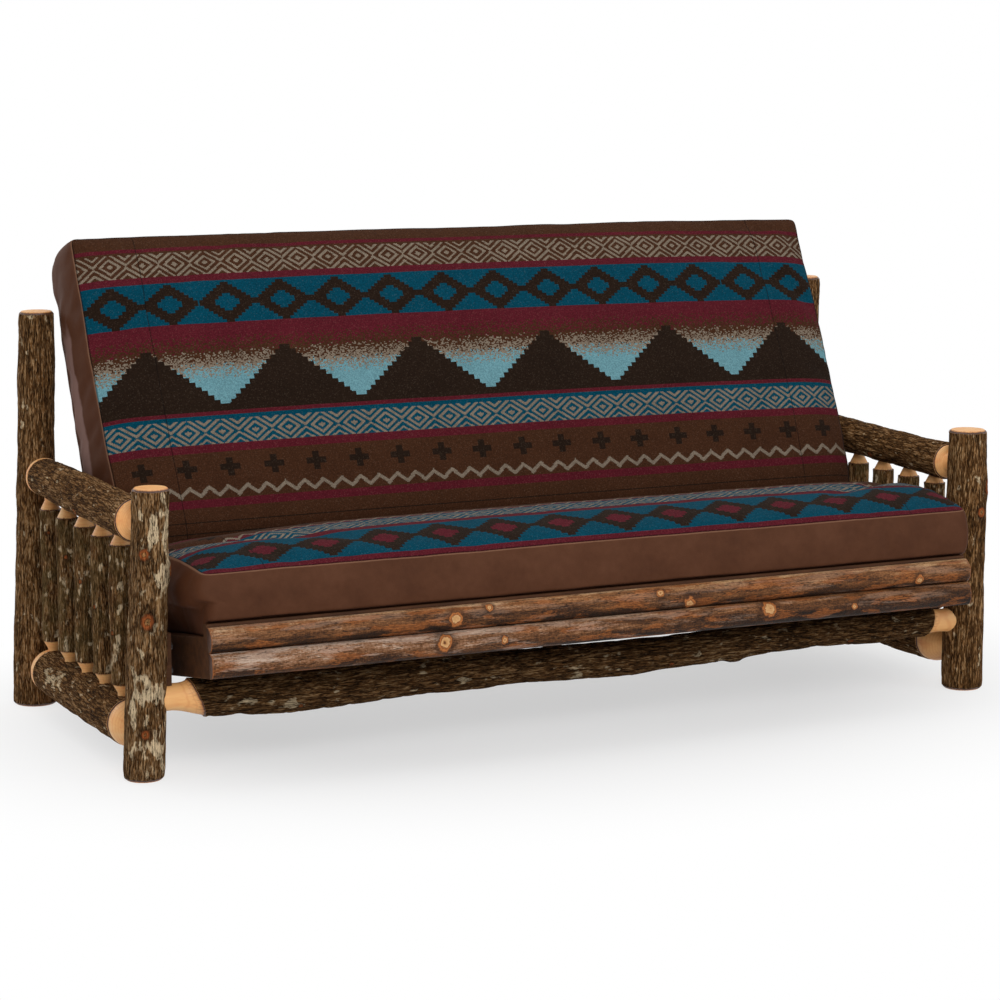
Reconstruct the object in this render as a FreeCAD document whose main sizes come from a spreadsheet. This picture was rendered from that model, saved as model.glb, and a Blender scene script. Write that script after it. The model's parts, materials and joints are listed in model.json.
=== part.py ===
import FreeCAD, Part
import math
import os

import Sketcher

# Log futon: two log end frames, two log stretchers and a folding slatted deck with a thick mattress.
# Millimetres, +X along the width, +Y to the rear, +Z up, origin under the middle of the whole.

SIZES = {
    # Log end frames
    "post_span": 2060,
    "post_depth": 796,
    "post_mid_y": 44.5,
    "front_post_height": 628,
    "rear_post_height": 927,
    "front_left_foot": 86,
    "front_left_tip": 80,
    "front_right_foot": 96,
    "front_right_tip": 90,
    "rear_left_foot": 104,
    "rear_left_tip": 80,
    "rear_right_foot": 104,
    "rear_right_tip": 84,
    "post_chamfer": 6,
    "arm_height": 550,
    "arm_front_dia": 96,
    "arm_rear_dia": 86,
    "arm_bark_end": 336,
    "arm_tenon": 48,
    "arm_dome": 11,
    "arm_socket": 12,
    "lower_height": 96,
    "lower_dia": 106,
    "lower_bark_end": 272,
    "lower_dome": 66,
    "lower_tenon": 60,
    "lower_socket": 23,
    "spindle_foot": 52,
    "spindle_tip": 48,
    "spindle_low": 174,
    "spindle_high": 480,
    "spindle_cone": 20,
    "spindle_tenon": 26,
    "spindle_first_left": -231,
    "spindle_pitch_left": 127,
    "spindle_first_right": -260,
    "spindle_pitch_right": 116,
    # Stretchers
    "stretcher_left_dia": 92,
    "stretcher_right_dia": 80,
    "front_stretcher_height": 164,
    "rear_stretcher_height": 216,
    "stretcher_bark_end": 924,
    "stretcher_flare": 60,
    "stretcher_tenon": 58,
    # Shared joinery
    "bark": 3,
    "swell": 1.2,
    "tenon_stop": 8,
    "tenon_fit": 0.15,
    # Folding deck
    "deck_half": 943,
    "corner_y": 59,
    "corner_z": 226,
    "seat_tilt": 9.5,
    "back_recline": 27,
    "pivot_drop": 30,
    "bed_travel": 200,
    "rail_thick": 38,
    "rail_depth": 89,
    "rail_start": 40,
    "seat_length": 574,
    "front_board": 22,
    "front_lip": 27,
    "slat_width": 76,
    "slat_thick": 18,
    "slat_count": 12,
    "cleat_thick": 25,
    "cleat_depth": 30,
    "beam_depth": 60,
    "back_length": 790,
    "back_rail_start": 146,
    "back_middle_low": 365,
    "deck_clear": 6,
    "edge_round": 3,
    "half_log_height": 54,
    "half_log_bulge": 25,
    "half_log_gap": 0.5,
    # Fold hardware
    "track_face": 982,
    "track_thick": 19,
    "track_low": 152,
    "track_high": 314,
    "track_lap": 14,
    "lug_clear": 8,
    "notch_clear": 22,
    "notch_front": 30,
    "notch_rear": 60,
    "bush_dia": 26,
    "running_fit": 0.3,
    "pin_dia": 16,
    "pin_head": 28,
    "pin_head_bevel": 2,
    "pin_tip_bevel": 1,
    "bush_clear": 1,
    "plate_thick": 5,
    "plate_width": 34,
    "plate_reach": 112,
    "plate_foot": 8,
    "plate_margin": 2,
    "bolt_dia": 8,
    "bolt_head": 13,
    "bolt_head_height": 6,
    "bolt_length": 38,
    # Mattress
    "mattress_half": 950,
    "seat_front_high": 138,
    "seat_crown": 52,
    "back_thick": 160,
    "back_crown": 22,
    "back_top": 912,
    "fold_gap": 5,
    "fold_swell": 12,
    "underside": 1,
    "end_inset": 14,
    "side_draw": 6,
    "lip_clear": 6,
    "lip_ease": 2,
    "front_overhang": 30,
    "front_underlap": 8,
    "boxing_bulge": 7,
    "boxing_tuck": 3,
    "top_draw": 5,
    "shelf_clear": 6,
    "shelf_rise": 12,
    "shelf_reach": 14,
    "rear_swell": 27,
    "rear_edge": 10,
    "rear_round": 22,
    "front_round": 24,
    "front_ease": 8,
}
LOG_CONES = 6
SWELL_WAVES = 1.3
SHOULDER_SINK = 2.0
DOME_SHARE = 0.12
FLARE_HOLLOW = -3.5
BOLT_INSET_SHARE = 0.27
CUSHION_STATIONS = (-1.0, -0.985, -0.9, -0.65, -0.25, 0.25, 0.65, 0.9, 0.985, 1.0)

Vector = FreeCAD.Vector
Rotation = FreeCAD.Rotation
Placement = FreeCAD.Placement
X_AXIS = Vector(1, 0, 0)
Y_AXIS = Vector(0, 1, 0)
Z_AXIS = Vector(0, 0, 1)

doc = FreeCAD.newDocument("log_futon")
sheet = doc.addObject("Spreadsheet::Sheet", "Sizes")
for row, (alias, number) in enumerate(SIZES.items(), start=1):
    sheet.set("A%d" % row, alias)
    sheet.set("B%d" % row, str(number))
    sheet.setAlias("B%d" % row, alias)
doc.recompute()

subparts = []


def size(alias):
    return float(SIZES[alias])


def turn(axis, degrees):
    return Rotation(axis, degrees)


def bind(feature, **expressions):
    """Bind properties of a feature to cells of the sheet."""
    for name, expression in expressions.items():
        feature.setExpression(name.replace("__", "."), expression)


def new_body(label):
    body = doc.addObject("PartDesign::Body", label)
    body.Label = label
    subparts.append(body)
    return body


def origin_feature(body, role):
    return next(item for item in body.Origin.OriginFeatures if item.Role == role)


def new_sketch(body, name, role, offset=0.0, offset_cell=None):
    sketch = body.newObject("Sketcher::SketchObject", name)
    sketch.AttachmentSupport = (origin_feature(body, role), [""])
    sketch.MapMode = "FlatFace"
    sketch.AttachmentOffset = Placement(Vector(0, 0, offset), Rotation())
    if offset_cell:
        sketch.setExpression("AttachmentOffset.Base.z", offset_cell)
    return sketch


def dimension(sketch, name, expression, *arguments):
    index = sketch.addConstraint(Sketcher.Constraint(*arguments))
    sketch.renameConstraint(index, name)
    sketch.setExpression("Constraints." + name, expression)


def outline(sketch, points):
    """Draw a closed outline: a point alone ends a line, a pair gives an arc's middle and its end."""
    start = points[0]
    for step in points[1:] + [points[0]]:
        if isinstance(step[0], tuple):
            middle, end = step
            arc = Part.Arc(Vector(*start, 0), Vector(*middle, 0), Vector(*end, 0))
            sketch.addGeometry(arc)
        else:
            end = step
            sketch.addGeometry(Part.LineSegment(Vector(*start, 0), Vector(*end, 0)))
        start = end


def circle(sketch, x, y, radius):
    return sketch.addGeometry(Part.Circle(Vector(x, y, 0), Z_AXIS, radius))


def primitive(body, kind, name, placement, **expressions):
    feature = body.newObject("PartDesign::" + kind, name)
    bind(feature, **expressions)
    feature.Placement = placement
    return feature


# Logs

def log_cones(body, start_cell, end_cell, length, length_cell, phase):
    """Stack the short cones of a tapered log along its own Z, with a little swell between its ends."""
    def radius(along):
        swell = math.sin(math.pi * along) * math.sin(2 * math.pi * (SWELL_WAVES * along + phase))
        taper = "Sizes.%s/2*%f+Sizes.%s/2*%f" % (start_cell, 1 - along, end_cell, along)
        return "%s+Sizes.swell*%f" % (taper, swell)

    for index in range(LOG_CONES):
        low = index / LOG_CONES
        high = (index + 1) / LOG_CONES
        primitive(body, "AdditiveCone", "Log%d" % index, Placement(Vector(0, 0, length * low), Rotation()),
                  Radius1=radius(low), Radius2=radius(high), Height="%s*%f" % (length_cell, high - low))


def round_tenon(body, at, upward, tenon_cell, length_cell):
    """Add a turned tenon that starts inside the log's end."""
    flip = Rotation() if upward else turn(X_AXIS, 180)
    primitive(body, "AdditiveCylinder", "Tenon", Placement(Vector(0, 0, at), flip),
              Radius="Sizes.%s/2" % tenon_cell, Height=length_cell)


def turned_shoulder(body, at, upward, log_radius, tenon_radius, reach, bulge):
    """Turn the peeled shoulder between bark and tenon, domed by a positive bulge or flared by a negative."""
    way = 1 if upward else -1
    inside = at - way * SHOULDER_SINK
    far = at + way * reach
    middle = ((log_radius + tenon_radius) / 2 + bulge, at + way * reach * (0.5 + 0.01 * bulge))
    sketch = new_sketch(body, "Shoulder", "XZ_Plane")
    outline(sketch, [(0, inside), (log_radius, inside), (log_radius, at), (middle, (tenon_radius, far)),
                     (0, far)])
    turned = body.newObject("PartDesign::Revolution", "PeeledEnd")
    turned.Profile = sketch
    turned.ReferenceAxis = (sketch, ["V_Axis"])
    turned.Angle = 360


def mortise(body, centre, axis, degrees, tenon_cell, depth):
    primitive(body, "SubtractiveCylinder", "Mortise", Placement(centre, turn(axis, degrees)),
              Radius="Sizes.%s/2+Sizes.tenon_fit" % tenon_cell, Height="%f" % depth)


POST_X = size("post_span") / 2
FRONT_Y = size("post_mid_y") - size("post_depth") / 2
REAR_Y = size("post_mid_y") + size("post_depth") / 2
MORTISE_DEPTH = 80.0


def post(label, side, depth, foot_cell, tip_cell, height_cell, stretcher_cell, phase):
    """Stand a post on its foot, with mortises for arm, lower log and stretcher and a flat for the track."""
    body = new_body(label)
    bevel = size("post_chamfer")
    length = size(height_cell) - 2 * bevel
    log_cones(body, foot_cell, tip_cell, length, "(Sizes.%s-2*Sizes.post_chamfer)" % height_cell, phase)
    for at, upward, dia_cell in ((0.0, False, foot_cell), (length, True, tip_cell)):
        flip = Rotation() if upward else turn(X_AXIS, 180)
        primitive(body, "AdditiveCone", "EndBevel", Placement(Vector(0, 0, at), flip),
                  Radius1="Sizes.%s/2" % dia_cell, Radius2="Sizes.%s/2-Sizes.post_chamfer" % dia_cell,
                  Height="Sizes.post_chamfer")
    stop = size("tenon_stop") - size("tenon_fit")
    inward_turn = 90 if side < 0 else -90
    along_turn = -90 if depth < size("post_mid_y") else 90
    toward = 1 if depth < size("post_mid_y") else -1
    for height_of, tenon_cell in (("arm_height", "arm_tenon"), ("lower_height", "lower_tenon")):
        seat = Vector(0, toward * stop, size(height_of) - bevel)
        mortise(body, seat, X_AXIS, along_turn, tenon_cell, MORTISE_DEPTH)
    stretcher_at = Vector(-side * stop, 0, size(stretcher_cell) - bevel)
    mortise(body, stretcher_at, Y_AXIS, inward_turn, "stretcher_tenon", MORTISE_DEPTH)
    low, high = track_lug(depth)
    flat = POST_X - size("track_face") - size("track_thick")
    housing_x = -side * flat if side < 0 else -side * flat - MORTISE_DEPTH
    primitive(body, "SubtractiveBox", "TrackFlat",
              Placement(Vector(housing_x, -MORTISE_DEPTH, low - bevel), Rotation()),
              Length="%f" % MORTISE_DEPTH, Width="%f" % (2 * MORTISE_DEPTH), Height="%f" % (high - low))
    for bolt_z in track_bolt_heights(depth):
        primitive(body, "SubtractiveCylinder", "BoltHole",
                  Placement(Vector(0, 0, bolt_z - bevel), turn(Y_AXIS, inward_turn)),
                  Radius="Sizes.bolt_dia/2", Height="%f" % MORTISE_DEPTH)
    body.Placement = Placement(Vector(side * POST_X, depth, bevel), Rotation())


def side_log(label, side, name, dia_cells, spindle_way, phase):
    """Lay an arm or lower log between two posts, with domed ends and a row of spindle mortises."""
    body = new_body(label)
    bark_cell, tenon_cell = name + "_bark_end", name + "_tenon"
    half = size(bark_cell)
    log_cones(body, *dia_cells, 2 * half, "2*Sizes." + bark_cell, phase)
    dome = size(name + "_dome")
    reach_cell = "Sizes.post_depth/2-Sizes.tenon_stop-Sizes.%s" % bark_cell
    for at, upward, dia_cell in ((0.0, False, dia_cells[0]), (2 * half, True, dia_cells[1])):
        log_radius = size(dia_cell) / 2 - size("bark")
        turned_shoulder(body, at, upward, log_radius, size(tenon_cell) / 2, dome, dome * DOME_SHARE)
        round_tenon(body, at, upward, tenon_cell, reach_cell)
    for y in spindle_rows(side):
        seat = Vector(0, spindle_way * (size(name + "_socket") - size("tenon_fit")), y + half)
        mortise(body, seat, X_AXIS, -90 * spindle_way, "spindle_tenon", MORTISE_DEPTH)
    start = Vector(side * POST_X, size("post_mid_y") - half, size(name + "_height"))
    body.Placement = Placement(start, turn(X_AXIS, -90))


def spindle_rows(side):
    hand = "left" if side < 0 else "right"
    first = size("spindle_first_" + hand)
    return [first + row * size("spindle_pitch_" + hand) for row in range(5)]


def spindle(label, side, y, phase):
    """Turn the ends of a bark spindle to cones and tenons and seat it in the arm and lower logs."""
    body = new_body(label)
    low = size("spindle_low")
    length = size("spindle_high") - low
    log_cones(body, "spindle_foot", "spindle_tip", length, "(Sizes.spindle_high-Sizes.spindle_low)", phase)
    foot_seat = size("lower_height") + size("lower_socket")
    tip_seat = size("arm_height") - size("arm_socket")
    ends = ((0.0, False, "spindle_foot", low - foot_seat),
            (length, True, "spindle_tip", tip_seat - low - length))
    for at, upward, dia_cell, reach in ends:
        flip = Rotation() if upward else turn(X_AXIS, 180)
        primitive(body, "AdditiveCone", "PeeledCone", Placement(Vector(0, 0, at), flip),
                  Radius1="Sizes.%s/2-Sizes.bark" % dia_cell, Radius2="Sizes.spindle_tenon/2",
                  Height="Sizes.spindle_cone")
        round_tenon(body, at, upward, "spindle_tenon", "%f" % reach)
    body.Placement = Placement(Vector(side * POST_X, y + size("post_mid_y"), low), Rotation())


def stretcher(label, depth, height_cell, phase):
    """Run a long log across the width, flared down to a tenon at each end."""
    body = new_body(label)
    half = size("stretcher_bark_end")
    log_cones(body, "stretcher_left_dia", "stretcher_right_dia", 2 * half, "2*Sizes.stretcher_bark_end",
              phase)
    reach_cell = "Sizes.post_span/2-Sizes.tenon_stop-Sizes.stretcher_bark_end"
    for at, upward, dia_cell in ((0.0, False, "stretcher_left_dia"), (2 * half, True, "stretcher_right_dia")):
        log_radius = size(dia_cell) / 2 - size("bark")
        turned_shoulder(body, at, upward, log_radius, size("stretcher_tenon") / 2, size("stretcher_flare"),
                        FLARE_HOLLOW)
        round_tenon(body, at, upward, "stretcher_tenon", reach_cell)
    body.Placement = Placement(Vector(-half, depth, size(height_cell)), turn(Y_AXIS, 90))


# Folding geometry, in the plane of the end frames

TILT = math.radians(size("seat_tilt"))
RECLINE = math.radians(size("back_recline"))
CORNER = Vector(0, size("corner_y") + size("post_mid_y"), size("corner_z"))
SEAT_FRAME = Placement(CORNER, turn(X_AXIS, -size("seat_tilt")))
BACK_FRAME = Placement(CORNER, turn(X_AXIS, -size("back_recline")))
FOLD_HALF = (math.pi / 2 + RECLINE - TILT) / 2
PIVOT_BACK = size("pivot_drop") / math.tan(FOLD_HALF)
SEAT_PIVOT = Vector(0, PIVOT_BACK, -size("pivot_drop"))
PIVOT = SEAT_FRAME.multVec(SEAT_PIVOT)


def track_pivot(share):
    """Place the fold pivot after a share of the travel, as the seat rails slide on the front stretcher."""
    tilt = TILT * (1 - share)
    start = PIVOT - Vector(0, FRONT_Y, size("front_stretcher_height"))
    across = start.y * math.sin(TILT) + start.z * math.cos(TILT)
    along = start.y * math.cos(TILT) - start.z * math.sin(TILT) - size("bed_travel") * share
    y = FRONT_Y + across * math.sin(tilt) + along * math.cos(tilt)
    z = size("front_stretcher_height") + across * math.cos(tilt) - along * math.sin(tilt)
    return Vector(0, y, z)


def track_circle():
    """Find the centre and radius of the slot's arc through the start, middle and end of the travel."""
    arc = Part.Arc(track_pivot(0.0), track_pivot(0.5), track_pivot(1.0)).toShape().Curve
    return arc.Center, arc.Radius


def track_lug(depth):
    """Give the heights between which a track board laps onto a post, above the stretcher's tenon."""
    height_cell = "front_stretcher_height" if depth < size("post_mid_y") else "rear_stretcher_height"
    return size(height_cell) + size("stretcher_tenon") / 2 + size("lug_clear"), size("track_high")


def track_bolt_heights(depth):
    low, high = track_lug(depth)
    inset = BOLT_INSET_SHARE * (high - low)
    return low + inset, high - inset


def track_board(label, side):
    """Cut the curved slot that the fold bush runs in, and notch both ends over the stretchers' tenons."""
    body = new_body(label)
    face = side * size("track_face") if side > 0 else side * (size("track_face") + size("track_thick"))
    sketch = new_sketch(body, "Profile", "YZ_Plane", face)
    clear = size("stretcher_tenon") / 2 + size("notch_clear")
    front, rear = FRONT_Y - size("track_lap"), REAR_Y + size("track_lap")
    low, high = size("track_low"), size("track_high")
    front_low = track_lug(FRONT_Y)[0]
    rear_low = track_lug(REAR_Y)[0]
    outline(sketch, [(front, high), (front, front_low), (FRONT_Y + clear, front_low),
                     (FRONT_Y + clear + size("notch_front"), low), (REAR_Y - clear - size("notch_rear"), low),
                     (REAR_Y - clear, rear_low), (rear, rear_low), (rear, high)])
    centre, radius = track_circle()
    half = size("bush_dia") / 2 + size("running_fit")
    ends = [track_pivot(share) for share in (0.0, 1.0)]
    rays = [(end - centre).normalize() for end in ends]
    cross = [Vector(0, -ray.z, ray.y) for ray in rays]
    over = track_pivot(0.5) - centre
    over.normalize()
    corner = [centre + rays[0] * (radius + half), centre + rays[1] * (radius + half),
              centre + rays[1] * (radius - half), centre + rays[0] * (radius - half)]
    crest = [centre + over * (radius + half), ends[1] + cross[1] * half,
             centre + over * (radius - half), ends[0] - cross[0] * half]
    flat = [(point.y, point.z) for point in corner]
    middle = [(point.y, point.z) for point in crest]
    loop = [(middle[index], flat[(index + 1) % 4]) for index in range(4)]
    start = flat[0]
    for arc_middle, arc_end in loop:
        sketch.addGeometry(Part.Arc(Vector(*start, 0), Vector(*arc_middle, 0), Vector(*arc_end, 0)))
        start = arc_end
    for depth in (FRONT_Y, REAR_Y):
        for bolt_z in track_bolt_heights(depth):
            circle(sketch, depth, bolt_z, size("bolt_dia") / 2)
    pad = body.newObject("PartDesign::Pad", "Board")
    pad.Profile = sketch
    bind(pad, Length="Sizes.track_thick")


# Deck boards

def ease_long_edges(body, pad, direction):
    """Round the long edges of a board."""
    doc.recompute()
    long_edges = []
    for index, edge in enumerate(pad.Shape.Edges, start=1):
        along = edge.Vertexes[-1].Point - edge.Vertexes[0].Point
        if along.Length > 1 and abs(along.normalize().dot(direction)) > 0.99:
            long_edges.append("Edge%d" % index)
    fillet = body.newObject("PartDesign::Fillet", "EasedEdges")
    fillet.Base = (pad, long_edges)
    bind(fillet, Radius="Sizes.edge_round")


def board(label, frame, corner, width_cell, depth_cell, height_cell, long_axis):
    """Make a board from its low corner in a deck frame, with its X, Y and Z sizes from the sheet."""
    body = new_body(label)
    sketch = new_sketch(body, "Face", "XY_Plane")
    outline(sketch, [(0, 0), (10, 0), (10, 10), (0, 10)])
    for side in range(4):
        sketch.addConstraint(Sketcher.Constraint("Coincident", side, 2, (side + 1) % 4, 1))
        sketch.addConstraint(Sketcher.Constraint("Vertical" if side % 2 else "Horizontal", side))
    sketch.addConstraint(Sketcher.Constraint("Coincident", 0, 1, -1, 1))
    dimension(sketch, "width", width_cell, "DistanceX", 0, 1, 0, 2, 10.0)
    dimension(sketch, "depth", depth_cell, "DistanceY", 1, 1, 1, 2, 10.0)
    pad = body.newObject("PartDesign::Pad", "Board")
    pad.Profile = sketch
    bind(pad, Length=height_cell)
    ease_long_edges(body, pad, long_axis)
    body.Placement = frame.multiply(Placement(Vector(*corner), Rotation()))
    return body


def slats(label, frame, corner, depth_cell, height_cell, long_axis):
    """Lay a row of slats, spread evenly across the width, in one group."""
    body = board(label, frame, corner, "Sizes.slat_width", depth_cell, height_cell, long_axis)
    doc.recompute()
    row = body.newObject("PartDesign::LinearPattern", "Row")
    row.Originals = [item for item in body.Group if item.TypeId in ("PartDesign::Pad", "PartDesign::Fillet")]
    row.Direction = (origin_feature(body, "X_Axis"), [""])
    bind(row, Length="2*Sizes.deck_half-2*Sizes.rail_thick-Sizes.slat_width-2*Sizes.slat_thick",
         Occurrences="Sizes.slat_count")
    body.Tip = row


def bolt_holes(body, places, axis, degrees, depth):
    for place in places:
        primitive(body, "SubtractiveCylinder", "BoltHole", Placement(place, turn(axis, degrees)),
                  Radius="Sizes.bolt_dia/2", Height="%f" % depth)


INNER_HALF = size("deck_half") - size("rail_thick")
CROSS_CELL = "2*Sizes.deck_half-2*Sizes.rail_thick"
SLAT_INSET = size("slat_thick")
PLATE_BOLTS = (0.62, 1.0)
BOLT_TIP_CLEAR = 0.5
BOLT_BOTTOM = size("bolt_length") - size("plate_thick") - size("rail_thick") / 2 + BOLT_TIP_CLEAR
SEAT_FOOT = Vector(0, -size("plate_reach") - size("plate_foot"), -size("rail_depth") / 2)
BACK_FOOT = Vector(0, size("rail_thick") / 2, size("plate_reach") + size("plate_foot"))
BACK_PIVOT = Vector(0, size("pivot_drop"), -PIVOT_BACK)


def seat_deck():
    """Frame the seat with rails, front board and cross members, and lay its slats on the cleats."""
    depth = size("rail_depth")
    front = -size("seat_length")
    for hand, side in (("left", -1), ("right", 1)):
        low_x = INNER_HALF if side > 0 else -size("deck_half")
        body = board("seat_rail_" + hand, SEAT_FRAME, (low_x, front, -depth), "Sizes.rail_thick",
                     "Sizes.seat_length-Sizes.rail_start", "Sizes.rail_depth", Y_AXIS)
        bottom = size("rail_thick") / 2 - side * BOLT_BOTTOM
        places = [Vector(bottom, point.y - front, point.z + depth) for point in seat_bolts()]
        bolt_holes(body, places, Y_AXIS, 90 * side, MORTISE_DEPTH)
    board("seat_front_board", SEAT_FRAME, (-size("deck_half"), front - size("front_board"), -depth),
          "2*Sizes.deck_half", "Sizes.front_board", "Sizes.rail_depth+Sizes.front_lip", X_AXIS)
    rear_face = -size("rail_start") - size("rail_thick") - size("deck_clear")
    board("seat_rear_rail", SEAT_FRAME, (-INNER_HALF, rear_face, -depth), CROSS_CELL, "Sizes.rail_thick",
          "Sizes.rail_depth", X_AXIS)
    slat_low = -size("slat_thick")
    cleat_low = slat_low - size("cleat_depth")
    board("seat_front_cleat", SEAT_FRAME, (-INNER_HALF, front, cleat_low), CROSS_CELL, "Sizes.cleat_thick",
          "Sizes.cleat_depth", X_AXIS)
    board("seat_rear_cleat", SEAT_FRAME, (-INNER_HALF, rear_face - size("cleat_thick"), cleat_low),
          CROSS_CELL, "Sizes.cleat_thick", "Sizes.cleat_depth", X_AXIS)
    middle = (front + rear_face - size("rail_thick")) / 2
    board("seat_middle_beam", SEAT_FRAME, (-INNER_HALF, middle, slat_low - size("beam_depth")), CROSS_CELL,
          "Sizes.rail_thick", "Sizes.beam_depth", X_AXIS)
    slats("seat_slats", SEAT_FRAME, (-INNER_HALF + SLAT_INSET, front, slat_low),
          "Sizes.seat_length-Sizes.rail_start-Sizes.rail_thick-Sizes.deck_clear", "Sizes.slat_thick", Y_AXIS)


def back_deck():
    """Frame the back with stiles and rails, and lay its slats against them."""
    start = size("rail_start")
    behind = size("slat_thick")
    for hand, side in (("left", -1), ("right", 1)):
        low_x = INNER_HALF if side > 0 else -size("deck_half")
        body = board("back_stile_" + hand, BACK_FRAME, (low_x, 0, start), "Sizes.rail_thick",
                     "Sizes.rail_thick", "Sizes.back_length-Sizes.rail_start", Z_AXIS)
        bottom = size("rail_thick") / 2 + side * BOLT_BOTTOM
        places = [Vector(bottom, point.y, point.z - start) for point in back_bolts()]
        bolt_holes(body, places, Y_AXIS, -90 * side, MORTISE_DEPTH)
    board("back_bottom_rail", BACK_FRAME, (-INNER_HALF, behind, size("back_rail_start")), CROSS_CELL,
          "Sizes.rail_thick", "Sizes.rail_depth", X_AXIS)
    top_low = size("back_length") - size("rail_depth")
    board("back_top_rail", BACK_FRAME, (-INNER_HALF, behind, top_low), CROSS_CELL,
          "Sizes.rail_thick", "Sizes.rail_depth", X_AXIS)
    board("back_middle_rail", BACK_FRAME, (-INNER_HALF, behind, size("back_middle_low")), CROSS_CELL,
          "Sizes.rail_thick", "Sizes.rail_depth", X_AXIS)
    slats("back_slats", BACK_FRAME, (-INNER_HALF + SLAT_INSET, 0, start),
          "Sizes.slat_thick", "Sizes.back_length-Sizes.rail_start", Z_AXIS)


def seat_bolts():
    run = SEAT_FOOT - SEAT_PIVOT
    return [SEAT_PIVOT + run * share for share in PLATE_BOLTS]


def back_bolts():
    run = BACK_FOOT - BACK_PIVOT
    return [BACK_PIVOT + run * share for share in PLATE_BOLTS]


# Half-logs on the deck's front

def half_log(label, low):
    """Split a log along the width, flat against the front board."""
    body = new_body(label)
    face = -size("seat_length") - size("front_board")
    high = low + size("half_log_height")
    sketch = new_sketch(body, "Section", "YZ_Plane", -size("deck_half"), "-Sizes.deck_half")
    outline(sketch, [(face, low), ((face - size("half_log_bulge"), (low + high) / 2), (face, high))])
    split = body.newObject("PartDesign::Pad", "SplitLog")
    split.Profile = sketch
    bind(split, Length="2*Sizes.deck_half")
    body.Placement = SEAT_FRAME


# Fold hardware

def hinge_plate(label, frame, side, face, pivot, foot, bolts):
    """Cut a steel plate with rounded ends, drilled for the fold pin and its bolts."""
    body = new_body(label)
    sketch = new_sketch(body, "Profile", "YZ_Plane", face if side > 0 else -face - size("plate_thick"))
    run = (foot - pivot).normalize()
    half = size("plate_width") / 2
    across = Vector(0, -run.z, run.y) * half
    far = foot + run * size("plate_margin")
    points = [pivot + across, pivot - run * half, pivot - across,
              far - across, far + run * half, far + across]
    flat = [(point.y, point.z) for point in points]
    outline(sketch, [flat[0], (flat[1], flat[2]), flat[3], (flat[4], flat[5])])
    circle(sketch, pivot.y, pivot.z, size("pin_dia") / 2 + size("running_fit"))
    for bolt in bolts:
        circle(sketch, bolt.y, bolt.z, size("bolt_dia") / 2)
    pad = body.newObject("PartDesign::Pad", "Plate")
    pad.Profile = sketch
    bind(pad, Length="Sizes.plate_thick")
    body.Placement = frame


def turned_piece(label, side, profile):
    """Turn a pin or bush about the fold axis, from radius and reach along the width."""
    body = new_body(label)
    sketch = new_sketch(body, "Profile", "XZ_Plane")
    outline(sketch, profile)
    turned = body.newObject("PartDesign::Revolution", "Turned")
    turned.Profile = sketch
    turned.ReferenceAxis = (sketch, ["V_Axis"])
    turned.Angle = 360
    body.Placement = Placement(PIVOT, turn(Y_AXIS, 90 * side))


def fold_hardware(hand, side):
    """Make one end's fold pin, slot bush and hinge plates."""
    inner_plate = INNER_HALF - size("plate_thick")
    head_low = inner_plate - size("bolt_head_height") - size("running_fit")
    head_high = inner_plate - size("running_fit")
    shaft = size("pin_dia") / 2
    head = size("pin_head") / 2
    outer = size("track_face") + size("track_thick")
    head_bevel = size("pin_head_bevel")
    tip_bevel = size("pin_tip_bevel")
    turned_piece("fold_pin_" + hand, side,
                 [(0, head_low), (head - head_bevel, head_low), (head, head_low + head_bevel),
                  (head, head_high), (shaft, head_high), (shaft, outer - tip_bevel),
                  (shaft - tip_bevel, outer), (0, outer)])
    bush = size("bush_dia") / 2
    low = size("track_face") + size("bush_clear")
    high = outer - size("bush_clear")
    turned_piece("slot_bush_" + hand, side, [(shaft, low), (bush, low), (bush, high), (shaft, high)])
    hinge_plate("seat_hinge_plate_" + hand, SEAT_FRAME, side, size("deck_half"), SEAT_PIVOT, SEAT_FOOT,
                seat_bolts())
    hinge_plate("back_hinge_plate_" + hand, BACK_FRAME, side, inner_plate, BACK_PIVOT, BACK_FOOT,
                back_bolts())


def bolt_group(label, frame, places):
    """Gather identical hex-headed bolts, each from its head's seat and the way that its head points."""
    bolts = []
    for index, (place, head_way) in enumerate(places):
        tip = Placement(place, turn(Y_AXIS, 90 * head_way))
        head = doc.addObject("Part::Prism", "%s_head%d" % (label, index))
        head.Polygon = 6
        bind(head, Circumradius="Sizes.bolt_head/2/cos(30)", Height="Sizes.bolt_head_height")
        shank = doc.addObject("Part::Cylinder", "%s_shank%d" % (label, index))
        bind(shank, Radius="Sizes.bolt_dia/2", Height="Sizes.bolt_length")
        shank.Placement = Placement(Vector(0, 0, -size("bolt_length")), Rotation())
        bolt = doc.addObject("Part::Fuse", "%s_bolt%d" % (label, index))
        bolt.Base = head
        bolt.Tool = shank
        bolt.Placement = frame.multiply(tip)
        bolts.append(bolt)
    group = doc.addObject("Part::Compound", label)
    group.Label = label
    group.Links = bolts
    subparts.append(group)


def bolts():
    """Bolt the track boards to the posts, and the hinge plates to the seat rails and back stiles."""
    seat_face = size("deck_half") + size("plate_thick")
    back_face = INNER_HALF - size("plate_thick")
    for hand, side in (("left", -1), ("right", 1)):
        bolt_group("track_bolts_" + hand, Placement(),
                   [(Vector(side * size("track_face"), depth, z), -side)
                    for depth in (FRONT_Y, REAR_Y) for z in track_bolt_heights(depth)])
        bolt_group("seat_plate_bolts_" + hand, SEAT_FRAME,
                   [(Vector(side * seat_face, point.y, point.z), side) for point in seat_bolts()])
        bolt_group("back_plate_bolts_" + hand, BACK_FRAME,
                   [(Vector(side * back_face, point.y, point.z), -side) for point in back_bolts()])


# Mattress, in a seat part and a back part that meet on the fold's bisector

MITRE = 1 / math.tan(FOLD_HALF)
TOP_CREST_SHARE = 0.45


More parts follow.
